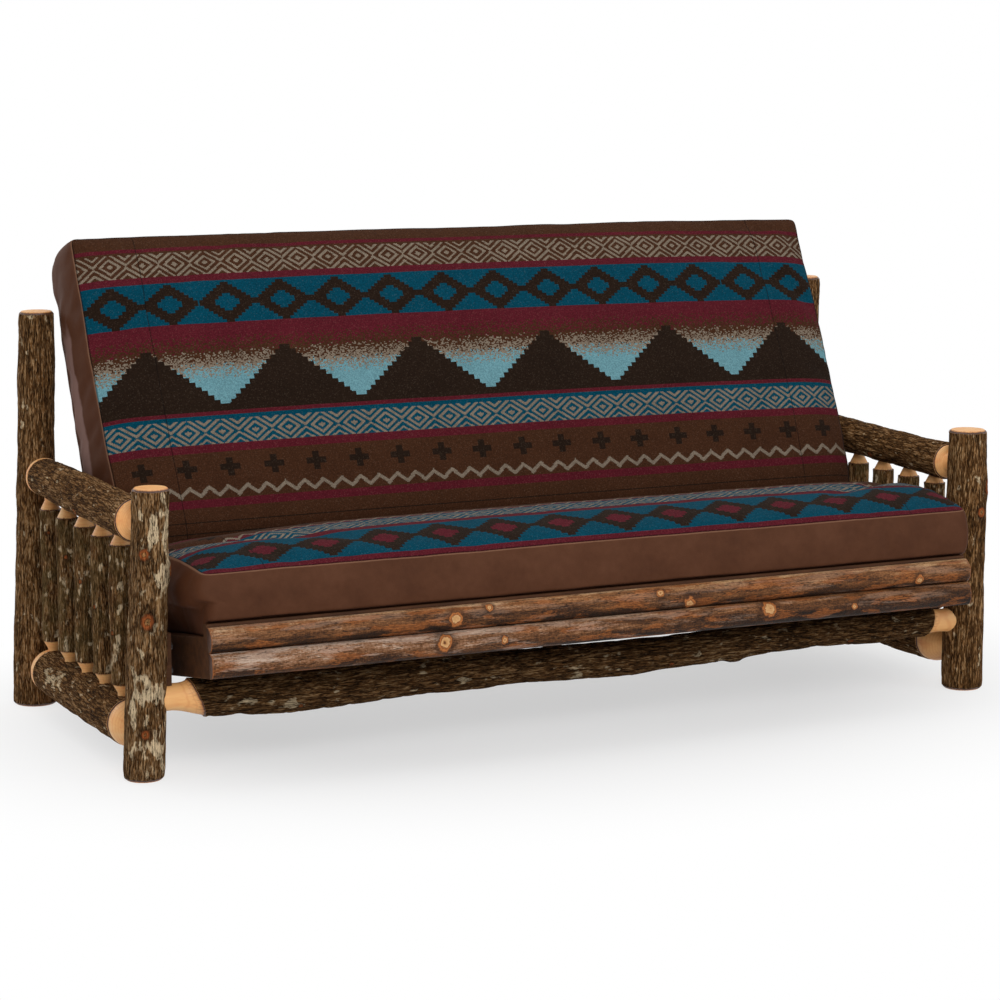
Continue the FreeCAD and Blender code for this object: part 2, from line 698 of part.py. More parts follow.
def cushion(label, frame, section):
    """Loft a crowned cushion along the width; its outer sections draw in to the boxing's rounded ends."""
    body = new_body(label)
    sketches = []
    for index, station in enumerate(CUSHION_STATIONS):
        sketch = new_sketch(body, "Section%d" % index, "YZ_Plane", station * size("mattress_half"),
                            "Sizes.mattress_half*%f" % station)
        outline(sketch, section(station))
        sketches.append(sketch)
    loft = body.newObject("PartDesign::AdditiveLoft", "Padding")
    loft.Profile = sketches[0]
    loft.Sections = sketches[1:]
    loft.Ruled = True
    body.Placement = frame


def edge_inset(station):
    return size("end_inset") if abs(station) == 1 else 0.0


def seat_section(station):
    """Outline the seat cushion: over the front lip, up the boxing and across the crown to the fold."""
    inset = edge_inset(station)
    crown = size("seat_crown") * (1 - abs(station) ** 3)
    drawn_in = size("side_draw") * (1 - station ** 2)
    under = size("underside")
    lip = size("front_lip") + size("lip_clear")
    board_back = -size("seat_length") + size("lip_ease")
    front = board_back - size("front_overhang") + drawn_in + inset
    front_high = size("seat_front_high") - inset
    rear_high = size("back_thick") + size("fold_swell") - inset
    gap = size("fold_gap")
    crest = ((front - rear_high * MITRE) / 2, (front_high + rear_high) / 2 + crown)
    boxing = (front - size("boxing_bulge"), (front_high + lip) / 2)
    return [(-gap, under), (-rear_high * MITRE - gap, rear_high), (crest, (front, front_high)),
            (boxing, (front + size("boxing_tuck"), lip)),
            (board_back - under, lip - size("lip_ease")), (board_back + size("front_underlap"), under)]


def back_section(station):
    """Outline the back cushion: up the slats, over the deck's top and down the crowned front to the fold."""
    inset = edge_inset(station)
    crown = size("back_crown") * (1 - abs(station) ** 3)
    under = size("underside")
    thick = size("back_thick") - inset
    top = size("back_top") - inset - size("top_draw") * (1 - station ** 2)
    shelf = size("back_length") + size("shelf_clear")
    gap = size("fold_gap")
    low = thick * MITRE + gap
    rear_middle = (size("rear_swell"), (shelf + top) / 2 + size("shelf_clear"))
    return [(-under, gap), (-under, shelf), (size("shelf_reach"), shelf + size("shelf_rise")),
            (rear_middle, (size("rear_edge"), top - size("rear_round"))),
            ((-thick * TOP_CREST_SHARE, top), (size("front_ease") - thick, top - size("front_round"))),
            ((-thick - crown, (top + low) / 2), (-thick, low))]


# Assembly

def build():
    """Make every piece; the phases give each log its own swell."""
    for index, (hand, side) in enumerate((("left", -1), ("right", 1))):
        post("front_post_" + hand, side, FRONT_Y, "front_%s_foot" % hand, "front_%s_tip" % hand,
             "front_post_height", "front_stretcher_height", 0.15 + 0.3 * index)
        post("rear_post_" + hand, side, REAR_Y, "rear_%s_foot" % hand, "rear_%s_tip" % hand,
             "rear_post_height", "rear_stretcher_height", 0.55 + 0.3 * index)
        side_log("arm_log_" + hand, side, "arm", ("arm_front_dia", "arm_rear_dia"), 1, 0.2 + 0.4 * index)
        side_log("lower_log_" + hand, side, "lower", ("lower_dia", "lower_dia"), -1, 0.7 + 0.4 * index)
        for row, y in enumerate(spindle_rows(side), start=1):
            spindle("spindle_%s_%d" % (hand, row), side, y, 0.17 * row + 0.4 * index)
        track_board("track_board_" + hand, side)
        fold_hardware(hand, side)
    stretcher("front_stretcher", FRONT_Y, "front_stretcher_height", 0.3)
    stretcher("rear_stretcher", REAR_Y, "rear_stretcher_height", 0.8)
    seat_deck()
    back_deck()
    low = -size("rail_depth")
    half_log("lower_half_log", low)
    half_log("upper_half_log", low + size("half_log_height") + size("half_log_gap"))
    bolts()
    cushion("seat_cushion", SEAT_FRAME, seat_section)
    cushion("back_cushion", BACK_FRAME, back_section)
    doc.recompute()


def write_steps():
    """Check every object and shape, then write one file per piece."""
    failed = [item.Label for item in doc.Objects if {"Invalid", "Error"} & set(item.State)]
    broken = [item.Label for item in subparts if item.Shape.isNull() or not item.Shape.isValid()]
    if failed or broken:
        raise RuntimeError("failed objects: %s, broken shapes: %s" % (failed, broken))
    os.makedirs("parts", exist_ok=True)
    for item in subparts:
        item.Shape.exportStep(os.path.join("parts", item.Label + ".step"))


build()
write_steps()
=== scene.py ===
import itertools
import json
import math
from functools import partialmethod

import bmesh
import bpy
import numpy as np
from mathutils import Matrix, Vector

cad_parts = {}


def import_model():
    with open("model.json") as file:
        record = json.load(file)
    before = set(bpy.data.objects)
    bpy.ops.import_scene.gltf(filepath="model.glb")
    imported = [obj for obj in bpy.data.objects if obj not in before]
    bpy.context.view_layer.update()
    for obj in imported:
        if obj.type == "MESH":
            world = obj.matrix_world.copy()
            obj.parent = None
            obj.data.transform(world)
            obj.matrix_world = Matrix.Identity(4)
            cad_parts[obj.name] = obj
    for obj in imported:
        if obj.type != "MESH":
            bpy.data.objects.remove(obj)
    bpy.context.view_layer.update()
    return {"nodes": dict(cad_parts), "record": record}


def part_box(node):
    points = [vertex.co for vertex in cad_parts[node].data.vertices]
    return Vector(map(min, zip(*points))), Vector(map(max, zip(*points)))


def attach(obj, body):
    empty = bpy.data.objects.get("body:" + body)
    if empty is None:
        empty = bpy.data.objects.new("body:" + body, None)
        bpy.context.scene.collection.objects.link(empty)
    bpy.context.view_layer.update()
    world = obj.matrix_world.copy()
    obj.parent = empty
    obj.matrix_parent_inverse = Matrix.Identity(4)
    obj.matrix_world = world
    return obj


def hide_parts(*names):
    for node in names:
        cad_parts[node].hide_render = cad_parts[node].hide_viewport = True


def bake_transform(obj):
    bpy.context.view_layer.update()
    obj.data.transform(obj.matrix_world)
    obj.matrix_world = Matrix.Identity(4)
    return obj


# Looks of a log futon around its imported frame. Metres, +X along the width, +Y to the rear, +Z up.

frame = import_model()
nodes = frame["nodes"]

HANDS = ("left", "right")
MM = 0.001


# Noise and meshes

HASH_MASK = 0xFFFFFFFF
HASH_X, HASH_Y, HASH_Z, HASH_SEED = 374761393, 668265263, 1911520717, 1274126177


def unit(values):
    """Hold values between 0 and 1."""
    return np.clip(values, 0, 1)


def lattice(points, seed):
    """Smooth noise of 3-D points, from -1 to 1, from hashed corners of a unit lattice."""
    cell = np.floor(points).astype(np.int64)
    part = points - cell
    ease = part * part * (3 - 2 * part)
    total = np.zeros(len(points))
    for corner in itertools.product((0, 1), repeat=3):
        x, y, z = (cell + np.array(corner)).T
        mixed = (x * HASH_X + y * HASH_Y + z * HASH_Z + seed * HASH_SEED) & HASH_MASK
        mixed = ((mixed ^ (mixed >> 13)) * HASH_SEED) & HASH_MASK
        mixed = mixed ^ (mixed >> 16)
        weight = np.prod(np.where(corner, ease, 1 - ease), axis=1)
        total += weight * (mixed / (HASH_MASK / 2) - 1)
    return total


def add_object(name, data):
    """Make an object and put it in the scene."""
    made = bpy.data.objects.new(name, data)
    bpy.context.scene.collection.objects.link(made)
    return made


def new_mesh(name, points, faces, materials, indices):
    """Make a smooth mesh object with outward normals and a material index per face."""
    mesh = bpy.data.meshes.new(name)
    mesh.from_pydata(np.asarray(points).tolist(), [], faces)
    for material in materials:
        mesh.materials.append(material)
    mesh.polygons.foreach_set("material_index", indices)
    mesh.polygons.foreach_set("use_smooth", [True] * len(faces))
    work = bmesh.new()
    work.from_mesh(mesh)
    bmesh.ops.recalc_face_normals(work, faces=work.faces)
    work.to_mesh(mesh)
    work.free()
    return add_object(name, mesh)


def set_values(piece, **attributes):
    """Store a number or a vector for each point under each name."""
    for name, values in attributes.items():
        values = np.asarray(values, np.float32)
        kind, field = ("FLOAT", "value") if values.ndim == 1 else ("FLOAT_VECTOR", "vector")
        piece.data.attributes.new(name, kind, "POINT").data.foreach_set(field, values.ravel())


def read_vectors(collection, field):
    """Read a vector of each item into rows."""
    values = np.empty(len(collection) * 3, np.float32)
    collection.foreach_get(field, values)
    return values.reshape(-1, 3)


# Materials

def tint(red, green, blue):
    """Turn display values from 0 to 255 into the linear colour that a shader takes."""
    shares = [value / 255 for value in (red, green, blue)]
    linear = [share / 12.92 if share < 0.04045 else ((share + 0.055) / 1.055) ** 2.4 for share in shares]
    return (*linear, 1.0)


class Field:
    """A socket of a node tree, with arithmetic that adds the matching nodes."""

    def __init__(self, graph, socket):
        self.graph = graph
        self.socket = socket

    def math(self, operation, *others):
        node = self.graph.tree.nodes.new("ShaderNodeMath")
        node.operation = operation
        for slot, value in zip(node.inputs, (self, *others)):
            self.graph.feed(slot, value)
        return Field(self.graph, node.outputs[0])

    __add__ = partialmethod(math, "ADD")
    __sub__ = partialmethod(math, "SUBTRACT")
    __mul__ = partialmethod(math, "MULTIPLY")
    __truediv__ = partialmethod(math, "DIVIDE")
    __lt__ = partialmethod(math, "LESS_THAN")
    __gt__ = partialmethod(math, "GREATER_THAN")
    __abs__ = partialmethod(math, "ABSOLUTE")
    floor = partialmethod(math, "FLOOR")
    fract = partialmethod(math, "FRACT")
    smaller = partialmethod(math, "MINIMUM")
    larger = partialmethod(math, "MAXIMUM")


class Graph:
    """A node tree, with short calls for the nodes that it needs. Colours are display values from 0 to 255."""

    def __init__(self, tree):
        self.tree = tree

    def feed(self, slot, value):
        if isinstance(value, Field):
            self.tree.links.new(value.socket, slot)
        else:
            slot.default_value = value

    def node(self, kind, output, **inputs):
        made = self.tree.nodes.new("ShaderNode" + kind)
        for name, value in inputs.items():
            self.feed(made.inputs[name.replace("_", " ")], value)
        return made, Field(self, made.outputs[output])

    def attribute(self, name, output="Fac"):
        made, field = self.node("Attribute", output)
        made.attribute_name = name
        return field

    def vector_math(self, operation, vector, slot=1, value=(0.0, 0.0, 0.0), output=0):
        made = self.tree.nodes.new("ShaderNodeVectorMath")
        made.operation = operation
        self.feed(made.inputs[0], vector)
        self.feed(made.inputs[slot], value)
        return Field(self, made.outputs[output])

    def ramp(self, factor, *stops, interpolation="LINEAR"):
        """Turn a number into a colour by stops of place, red, green and blue."""
        made, field = self.node("ValToRGB", "Color", Fac=factor)
        made.color_ramp.interpolation = interpolation
        elements = made.color_ramp.elements
        placed = [(place, tint(*shade)) for place, *shade in stops]
        elements[0].position, elements[0].color = placed[0]
        elements[1].position, elements[1].color = placed[-1]
        for place, colour in placed[1:-1]:
            elements.new(place).color = colour
        return field

    def mask(self, factor, low, high):
        """Rise from 0 at low to 1 at high."""
        made, field = self.node("MapRange", "Result", Value=factor, From_Min=low, From_Max=high)
        made.interpolation_type = "SMOOTHSTEP"
        return field

    def layers(self, colour, *coats):
        """Lay coats over a colour, each as its share and its own colour."""
        for share, coat in coats:
            made = self.tree.nodes.new("ShaderNodeMix")
            made.data_type = "RGBA"
            self.feed(made.inputs[0], share)
            for slot, shade in ((6, colour), (7, coat)):
                self.feed(made.inputs[slot], tint(*shade) if isinstance(shade, tuple) else shade)
            colour = Field(self, made.outputs[2])
        return colour

    def seen(self):
        """One for what the camera sees, also in a reflection or through a clear part, and 0 for light."""
        path, field = self.node("LightPath", "Is Camera Ray")
        for other in ("Is Glossy Ray", "Is Transmission Ray"):
            field = field.larger(Field(self, path.outputs[other]))
        return field


class Paint(Graph):
    """A material in the making, whose noise runs on a vector stored under a name, or else on the object's place."""

    def __init__(self, name, place=None, **settings):
        self.material = bpy.data.materials.new(name)
        self.material.use_nodes = True
        super().__init__(self.material.node_tree)
        self.shader = self.tree.nodes["Principled BSDF"]
        for socket, value in settings.items():
            self.shader.inputs[socket.replace("_", " ")].default_value = value
        self.place = self.attribute(place, "Vector") if place else self.node("TexCoord", "Object")[1]

    def noise(self, scales, detail=2.0):
        stretched = self.vector_math("MULTIPLY", self.place, 1, scales)
        return self.node("TexNoise", "Fac", Vector=stretched, Scale=1.0, Detail=detail)[1]

    def finish(self, colour, roughness=None, height=None, depth=0.001, strength=1.0):
        self.feed(self.shader.inputs["Base Color"], colour)
        if roughness is not None:
            self.feed(self.shader.inputs["Roughness"], roughness)
        if height is not None:
            bump = self.node("Bump", "Normal", Height=height, Distance=depth, Strength=strength)[1]
            self.feed(self.shader.inputs["Normal"], bump)
        return self.material


def bark_material():
    """Furrowed bark: dark furrows between brown plates, pale flecks, lichen, moss and ringed knots, with painted shade
    on the logs that are given it.
    """
    paint = Paint("Bark", "grain", Specular_IOR_Level=0.06)
    sway = paint.noise((55, 55, 13)) - 0.5
    furrow = paint.mask(abs(paint.noise((150, 150, 19)) + sway * 0.25 - 0.5), 0.0, 0.10)
    crack = paint.mask(abs(paint.noise((260, 260, 24)) + sway * 0.2 - 0.5), 0.0, 0.05)
    fleck = paint.noise((500, 500, 105), 3.0)
    fibre = paint.noise((900, 900, 130))
    broad = paint.noise((16, 16, 7), 3.0)
    shade = furrow * 0.32 + crack * 0.26 + paint.attribute("plate") * 0.24 + fleck * 0.5 + fibre * 0.34
    colour = paint.ramp(shade + broad * 0.36 - 0.62, (0.12, 27, 17, 9), (0.34, 66, 43, 22), (0.53, 103, 69, 38),
                        (0.70, 136, 96, 57), (0.88, 186, 148, 104))
    moss = paint.attribute("moss") * paint.mask(paint.noise((30, 30, 18), 3.0), 0.38, 0.6)
    speck = paint.mask(fleck + paint.attribute("pale") * 0.1, 0.60, 0.68) * furrow
    crust = (paint.noise((52, 52, 30), 4.0) - 0.5) * 1.9 + 0.5
    patch = paint.mask(crust + paint.attribute("lichen") * 0.42, 0.76, 0.92)
    lichen = patch * paint.mask(fleck * 0.6 + furrow * 0.2 + crack * 0.15 + fibre * 0.4, 0.56, 0.70)
    ring = paint.attribute("knot") + (fleck - 0.5) * 0.7 + (broad - 0.5) * 0.5
    eye = paint.ramp(ring, (0.0, 40, 26, 16), (0.2, 196, 146, 92), (0.34, 110, 60, 32), (0.46, 186, 104, 56),
                     (0.72, 140, 76, 42), (1.0, 52, 33, 20))
    colour = paint.layers(
        colour,
        (moss * 0.6, paint.ramp(fleck, (0.3, 72, 57, 30), (0.7, 126, 104, 64))),
        (speck * 0.45, (166, 140, 106)),
        (lichen * 0.95, (238, 212, 172)),
        (paint.mask(ring, 1.9, 0.9) * 0.55, (34, 22, 13)),
        (paint.mask(ring + (fibre - 0.5) * 0.5, 1.0, 0.75), eye),
        # Painted shade: the whole log is darkened by the amount it is given, for the shadow under the seat deck.
        (paint.attribute("painted_shade"), (14, 9, 6)))
    return paint.finish(colour, 0.92, furrow * 0.7 + crack * 0.4 + fleck * 0.5 + fibre * 0.25, 0.005)


def peeled_material():
    """Cut and peeled wood: cream with growth rings, pale patches painted as highlights, and an orange rim of inner
    bark.
    """
    paint = Paint("PeeledWood", "grain", Specular_IOR_Level=0.5)
    wobble = paint.noise((26, 26, 9))
    year = ((paint.attribute("reach") + wobble * 0.006) / 0.0038).fract()
    ring = paint.mask(abs(year - 0.5), 0.28, 0.5)
    streak = paint.noise((260, 260, 22), 3.0)
    stain = paint.mask(paint.noise((34, 34, 12), 3.0), 0.54, 0.72)
    rim = paint.attribute("rim")
    colour = paint.layers(
        (255, 192, 122),
        (ring * 0.36, (232, 140, 72)),
        (paint.mask(streak, 0.42, 0.75) * 0.35, (244, 164, 94)),
        (stain * 0.4, (238, 136, 70)),
        # Painted highlight: pale cream patches at random places.
        (paint.mask(wobble, 0.5, 0.75) * 0.5, (255, 212, 152)),
        (paint.mask(rim + (streak - 0.5) * 0.7, 0.12, 0.65) * 0.8, (178, 112, 66)),
        (paint.mask(rim + (streak - 0.5) * 0.25, 0.48, 0.74), (70, 41, 25)))
    return paint.finish(colour, 0.5, streak * 0.5 + ring * 0.3, 0.0006, 0.6)


def split_log_material():
    """Half-log faces: oiled brown bark with orange scrapes, grey patches that are partly weathering and partly painted
    highlight, a painted lighter top and darker underside, and ringed knots.
    """
    paint = Paint("SplitLog", "grain", Specular_IOR_Level=0.16)
    streak = paint.noise((6, 95, 95), 4.0)
    blotch = paint.noise((16, 44, 44), 3.0)
    fine = paint.noise((130, 560, 560), 3.0)
    nick = paint.noise((300, 90, 90))
    side, grey = paint.attribute("side"), paint.attribute("grey")
    # Painted light and shade: side * 0.56 makes each half-log lighter at the top and darker underneath.
    shade = streak * 0.62 + blotch * 0.4 + fine * 0.5 + nick * 0.2 + side * 0.56 - 0.58 + paint.attribute("tone")
    dark = ((0.22, 24, 14, 8), (0.40, 64, 39, 22), (0.55, 112, 71, 40))
    golden = paint.ramp(shade, *dark, (0.70, 156, 105, 64), (0.86, 206, 162, 114))
    silver = paint.ramp(shade, *dark, (0.70, 162, 119, 88), (0.86, 220, 194, 174))
    scraped = paint.mask(paint.noise((11, 52, 52), 4.0) + fine * 0.15, 0.60, 0.68)
    # Weathering and painted highlight: grey-pink patches, with more of them towards the top of each half-log.
    weathering_and_highlight = paint.mask(paint.noise((8, 70, 70), 4.0) + side * 0.2 + fine * 0.2, 0.72, 0.84)
    crack = paint.mask(abs(paint.noise((14, 190, 190)) - 0.5), 0.03, 0.0)
    ring = paint.attribute("knot") + (paint.noise((85, 85, 85)) - 0.5) * 0.8 + (fine - 0.5) * 0.3
    eye = paint.ramp(ring, (0.0, 110, 64, 36), (0.16, 206, 150, 96), (0.42, 226, 178, 122), (0.52, 140, 80, 42),
                     (0.68, 200, 124, 66), (0.86, 84, 48, 28), (1.0, 60, 36, 22))
    colour = paint.layers(
        golden,
        (grey, silver),
        (scraped * 0.62, paint.ramp(fine, (0.3, 124, 66, 30), (0.7, 186, 112, 56))),
        (weathering_and_highlight * (grey * 0.45 + 0.12), (198, 171, 152)),
        (crack * 0.85, (26, 15, 9)),
        (paint.mask(ring, 1.8, 0.9) * 0.5, (50, 29, 17)),
        (paint.mask(ring + (fine - 0.5) * 0.4, 1.0, 0.8), eye),
        (paint.mask(paint.attribute("rim") + (fine - 0.5) * 0.6, 0.45, 0.95) * 0.7, (180, 110, 62)))
    roughness = paint.mask(fine, 0.2, 0.9) * 0.3 + 0.42
    return paint.finish(colour, roughness, fine * 0.8 + streak * 0.5 + nick * 0.3, 0.0045, 0.9)


def board_material():
    """Dark stained boards with faint grain."""
    paint = Paint("StainedBoard", Specular_IOR_Level=0.15)
    fine = paint.noise((60, 400, 400))
    shade = paint.noise((9, 60, 60), 4.0) * 0.7 + fine * 0.3
    colour = paint.ramp(shade, (0.3, 52, 31, 18), (0.55, 79, 49, 29), (0.75, 98, 64, 41))
    return paint.finish(colour, fine * 0.25 + 0.45, fine, 0.0005, 0.5)


def specked_material(name, scale, detail, stops, worn, roughness, strength, **settings):
    """A plain finish with faint specks, as on small metal and plastic parts."""
    paint = Paint(name, **settings)
    speck = paint.noise((scale, scale, scale), detail)
    return paint.finish(paint.ramp(speck, *stops), speck * worn + roughness, speck, 0.0002, strength)


BARK = bark_material()
PEELED = peeled_material()
SPLIT = split_log_material()
BOARD = board_material()
STEEL = specked_material("DarkSteel", 300, 3.0, [(0.4, 40, 40, 42), (0.75, 78, 76, 74)], 0.3, 0.35, 0.4, Metallic=0.6)
NYLON = specked_material("Nylon", 200, 2.0, [(0.3, 214, 210, 198), (0.7, 232, 229, 220)], 0.0, 0.45, 0.3,
                         Subsurface_Weight=0.05)


# Logs

BEVEL = 6 * MM
BARK_THICK = 3 * MM
BARK_STEP, AROUND_STEP, FEWEST_SIDES = 5.5 * MM, 2.6 * MM, 36
LIP_DROP, LIP_STEP, SHOULDER_STEPS = 0.8 * MM, 0.6 * MM, 12
RAGGED, RAGGED_PITCH = 1.6 * MM, 9
SLANT_RUN = 45 * MM
END_FADE = 14 * MM
PLATE_LEVEL = 0.62
LUMPS = ((45 * MM, 1.6 * MM), (130 * MM, 2.2 * MM))
TOOLED, TOOLED_SIZE = 0.25 * MM, 18 * MM
FAR = 9.0
PATCH_GAIN = 0.9
AXES = {"X": ((0, 1, 0), (0, 0, 1), (1, 0, 0)), "Y": ((1, 0, 0), (0, 0, -1), (0, 1, 0)),
        "Z": ((1, 0, 0), (0, 1, 0), (0, 0, 1))}


def sawn_end(radius):
    """Rows of a sawn post end, as reach, radius and rim: a bevelled edge, then the cut face."""
    face = radius - BEVEL
    rows = [(0.0, radius - LIP_STEP, 1.0), (0.35 * BEVEL, radius - 0.3 * BEVEL, 0.8),
            (0.8 * BEVEL, radius - 0.72 * BEVEL, 0.5), (BEVEL, face, 0.25)]
    return rows + [(BEVEL, face * share, 0.0) for share in (0.93, 0.78, 0.6, 0.42, 0.24, 0.08)]


def turned_end(radius, tenon, reach, bulge, tenon_end):
    """Rows of a peeled shoulder that runs down to a tenon, closed at the tenon's end."""
    start = radius - BARK_THICK
    rows = [(0.0, radius - LIP_DROP, 1.0), (LIP_STEP, start, 0.75)]
    for step in range(1, SHOULDER_STEPS + 1):
        share = step / SHOULDER_STEPS
        curve = bulge * math.sin(math.pi * share ** 0.85)
        rows.append((LIP_STEP + reach * share, start + (tenon - start) * share + curve, 0.55 * (1 - share) ** 4))
    rows += [(tenon_end * 0.6 + reach * 0.4, tenon, 0.0), (tenon_end, tenon, 0.0), (tenon_end, tenon * 0.4, 0.0)]
    return rows


def bark_plates(points, seed, width, length):
    """Interlaced plates of bark, from 0 in the furrows to 1 on the plates."""
    scaled = points / np.array([width, width, length])
    sway = lattice(points / np.array([4 * width, 4 * width, 0.8 * length]), seed + 1)
    scaled[:, :2] += 0.45 * sway[:, None]
    coarse = unit(np.abs(lattice(scaled, seed)) * 3.0) ** 0.6
    fine = unit(np.abs(lattice(scaled * np.array([2.1, 2.1, 1.7]), seed + 2)) * 2.6)
    return 0.68 * coarse + 0.32 * fine


def eased(at, stations, values):
    """Go from value to value between stations, level at each."""
    index = np.clip(np.searchsorted(stations, at) - 1, 0, len(stations) - 2)
    share = unit((at - stations[index]) / (stations[index + 1] - stations[index]))
    return values[index] + (values[index + 1] - values[index]) * share * share * (3 - 2 * share)


def away_from(angle, along, spot_angle, spot_along, radius, stretch):
    """Give each point's distance to a spot on a log, shortened along the log."""
    turn = (angle - spot_angle + math.pi) % (2 * math.pi) - math.pi
    return np.hypot(turn * radius, (along - spot_along) * stretch)


def nearest_knot(knots, angle, along, radius):
    """Give each point's distance to its nearest knot, in knot radii, and the knot's swelling."""
    ring = np.full(len(along), FAR)
    swell = np.zeros(len(along))
    for knot_angle, knot_along, size, height in knots:
        away = away_from(angle, along, knot_angle, knot_along, radius, 0.85) / (size * MM)
        ring = np.minimum(ring, away)
        swell += height * MM * (np.exp(-(away / 1.5) ** 2) - 0.45 * np.exp(-(away / 0.4) ** 2))
    return ring, swell


def log(node, axis, start, length, radii, ends, seed, plates=(8 * MM, 52 * MM), relief=2.4 * MM, knots=(),
        patches=(), lichen=0.0, moss=0.1, painted_shade=0.0, pale=0.0, bow=(0.0, 0.0), lean=(0.0, 0.0), waves=None,
        slants=(0.0, 0.0)):
    """Wrap a bark log with its two finished ends round a CAD log, and let it stand for that node.

    Knots are given by angle, place along, radius and height, patches by angle, place along and radius, with the
    radii and heights in millimetres.
    """
    count = max(2, round(length / BARK_STEP))
    rows = [(-reach, radius, rim, 0.0) for reach, radius, rim in reversed(ends[0])]
    rows += [(length * step / count, radii[0] + (radii[1] - radii[0]) * step / count, 0.0, 1.0)
             for step in range(count + 1)]
    rows += [(length + reach, radius, rim, 0.0) for reach, radius, rim in ends[1]]
    thick = max(radii)
    sides = max(FEWEST_SIDES, round(2 * math.pi * thick / AROUND_STEP))
    along, radius, rim, bark = (np.repeat(column, sides) for column in zip(*rows))
    angle = np.tile(np.arange(sides) * 2 * math.pi / sides, len(rows))
    circle = np.stack([np.cos(angle), np.sin(angle)], axis=1)
    base = np.column_stack([circle * radius[:, None], along])
    plate = bark_plates(base + seed * 0.37, seed, *plates)
    ring, swell = nearest_knot(knots, angle, along, thick)
    if waves:
        stations, swells, rises = (np.array(column) for column in zip(*waves))
        base[:, :2] += circle * (eased(along, stations, swells) * bark)[:, None]
    lump = sum(lattice(base / size, seed + turn) * high for turn, (size, high) in enumerate(LUMPS, start=5))
    near_end = np.minimum(along, length - along)
    fade = unit(near_end / END_FADE) * bark
    rough = (plate - PLATE_LEVEL) * relief * (0.35 * bark + 0.65 * fade) + lump * fade + swell * bark
    rough += (1 - bark) * lattice(base / TOOLED_SIZE, seed + 7) * TOOLED
    base[:, :2] += circle * rough[:, None]
    ragged = lattice(np.column_stack([circle * RAGGED_PITCH, np.full(len(circle), 1.7)]), seed + 8) * RAGGED
    rim_row = (rim > 0.5) | ((bark > 0) & (near_end < 0.5 * BARK_STEP))
    base[:, 2] += np.where(rim_row, ragged, 0.0)
    base[:, 2] -= slants[0] * circle[:, 1] * np.exp(-np.abs(along) / SLANT_RUN)
    base[:, 2] += slants[1] * circle[:, 1] * np.exp(-np.abs(along - length) / SLANT_RUN)
    base[:, :2] += np.outer(np.sin(np.pi * unit(along / length)) ** 2, bow)
    spots = np.full(len(base), lichen)
    for patch_angle, patch_along, size in patches:
        away = away_from(angle, along, patch_angle, patch_along, thick, 0.7) / (size * MM)
        spots += PATCH_GAIN * np.exp(-away ** 2)
    local = np.vstack([base, [[0, 0, along[0]], [0, 0, along[-1]]]])
    local[:, 0] += np.interp(local[:, 2], (0, length), lean)
    if waves:
        local[:, 1] += eased(local[:, 2], stations, rises)
    faces, indices = [], []
    around = [(side, (side + 1) % sides) for side in range(sides)]
    for row, (one, other) in enumerate(zip(rows, rows[1:])):
        low, high = row * sides, (row + 1) * sides
        faces += [(low + side, low + after, high + after, high + side) for side, after in around]
        indices += [0 if one[3] > 0 and other[3] > 0 else 1] * sides
    last = len(base) - sides
    for side, after in around:
        faces += [(len(base), after, side), (len(base) + 1, last + side, last + after)]
        indices += [1, 1]
    world = local @ np.array(AXES[axis]) + np.array(start)
    piece = new_mesh(node + "_wood", world, faces, [BARK, PEELED], indices)
    set_values(piece, grain=local + seed * 1.37)
    reach = np.hypot(base[:, 0], base[:, 1])
    for name, values, at_caps in (("reach", reach, 0.0), ("plate", plate, 0.0), ("rim", rim, 0.0),
                                  ("knot", ring, FAR), ("lichen", spots, 0.0)):
        set_values(piece, **{name: np.append(values, [at_caps, at_caps])})
    for name, value in (("moss", moss), ("painted_shade", painted_shade), ("pale", pale)):
        set_values(piece, **{name: np.full(len(local), value)})
    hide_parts(node)
    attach(piece, "frame")


def middle(node):
    low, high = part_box(node)
    return (low + high) / 2


FACING, RIGHT_FACING = math.radians(-108.7), math.radians(-123.9)

# Each post's radii at its foot and tip, and its looks.
POSTS = {
    "front_post_left": (43 * MM, 40 * MM, {
        "knots": [(FACING - 0.25, 0.486, 13, 5), (FACING, 0.343, 16, 5), (FACING, 0.10, 11, 3),
                  (FACING + 1.5, 0.446, 15, 8)],
        "patches": [(FACING + 0.45, 0.54, 40), (FACING, 0.185, 42), (FACING + 0.45, 0.06, 36),
                    (FACING + 1.2, 0.43, 32)],
        "lichen": 0.1, "pale": 1.3, "lean": (-13 * MM, 13 * MM)}),
    "front_post_right": (48 * MM, 45 * MM, {
        "knots": [(RIGHT_FACING + 0.82, 0.428, 12, 4), (RIGHT_FACING + 1.5, 0.485, 20, 6)],
        "plates": (6 * MM, 36 * MM), "relief": 1.9 * MM, "pale": 0.2}),
    "rear_post_left": (52 * MM, 40 * MM, {
        "plates": (6 * MM, 34 * MM), "relief": 1.8 * MM, "pale": 0.7, "lean": (-10 * MM, 14 * MM)}),
    "rear_post_right": (52 * MM, 42 * MM, {
        "plates": (6 * MM, 34 * MM), "relief": 1.8 * MM, "pale": 0.5, "lean": (0.0, 14 * MM)}),
}


def posts():
    for seed, (node, (foot, tip, looks)) in enumerate(POSTS.items(), start=11):
        at = middle(node)
        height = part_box(node)[1].z
        log(node, "Z", (at.x, at.y, BEVEL), height - 2 * BEVEL, (foot, tip), (sawn_end(foot), sawn_end(tip)), seed,
            **looks)


ARM_RADII = {"left": (48 * MM, 43 * MM), "right": (43 * MM, 42 * MM)}
ARM_SWAY = {"left": {}, "right": {"lean": (-12 * MM, 0.0), "waves": [(0.0, 0.0, 0.007), (0.672, 0.0, 0.003)]}}
ARM_TENON, ARM_REACH, ARM_SHORT = 24 * MM, 11 * MM, 26 * MM
LOWER_RADIUS, LOWER_TENON, LOWER_REACH = 53 * MM, 30 * MM, 66 * MM
ARM_BARK, LOWER_BARK = 336 * MM, 272 * MM


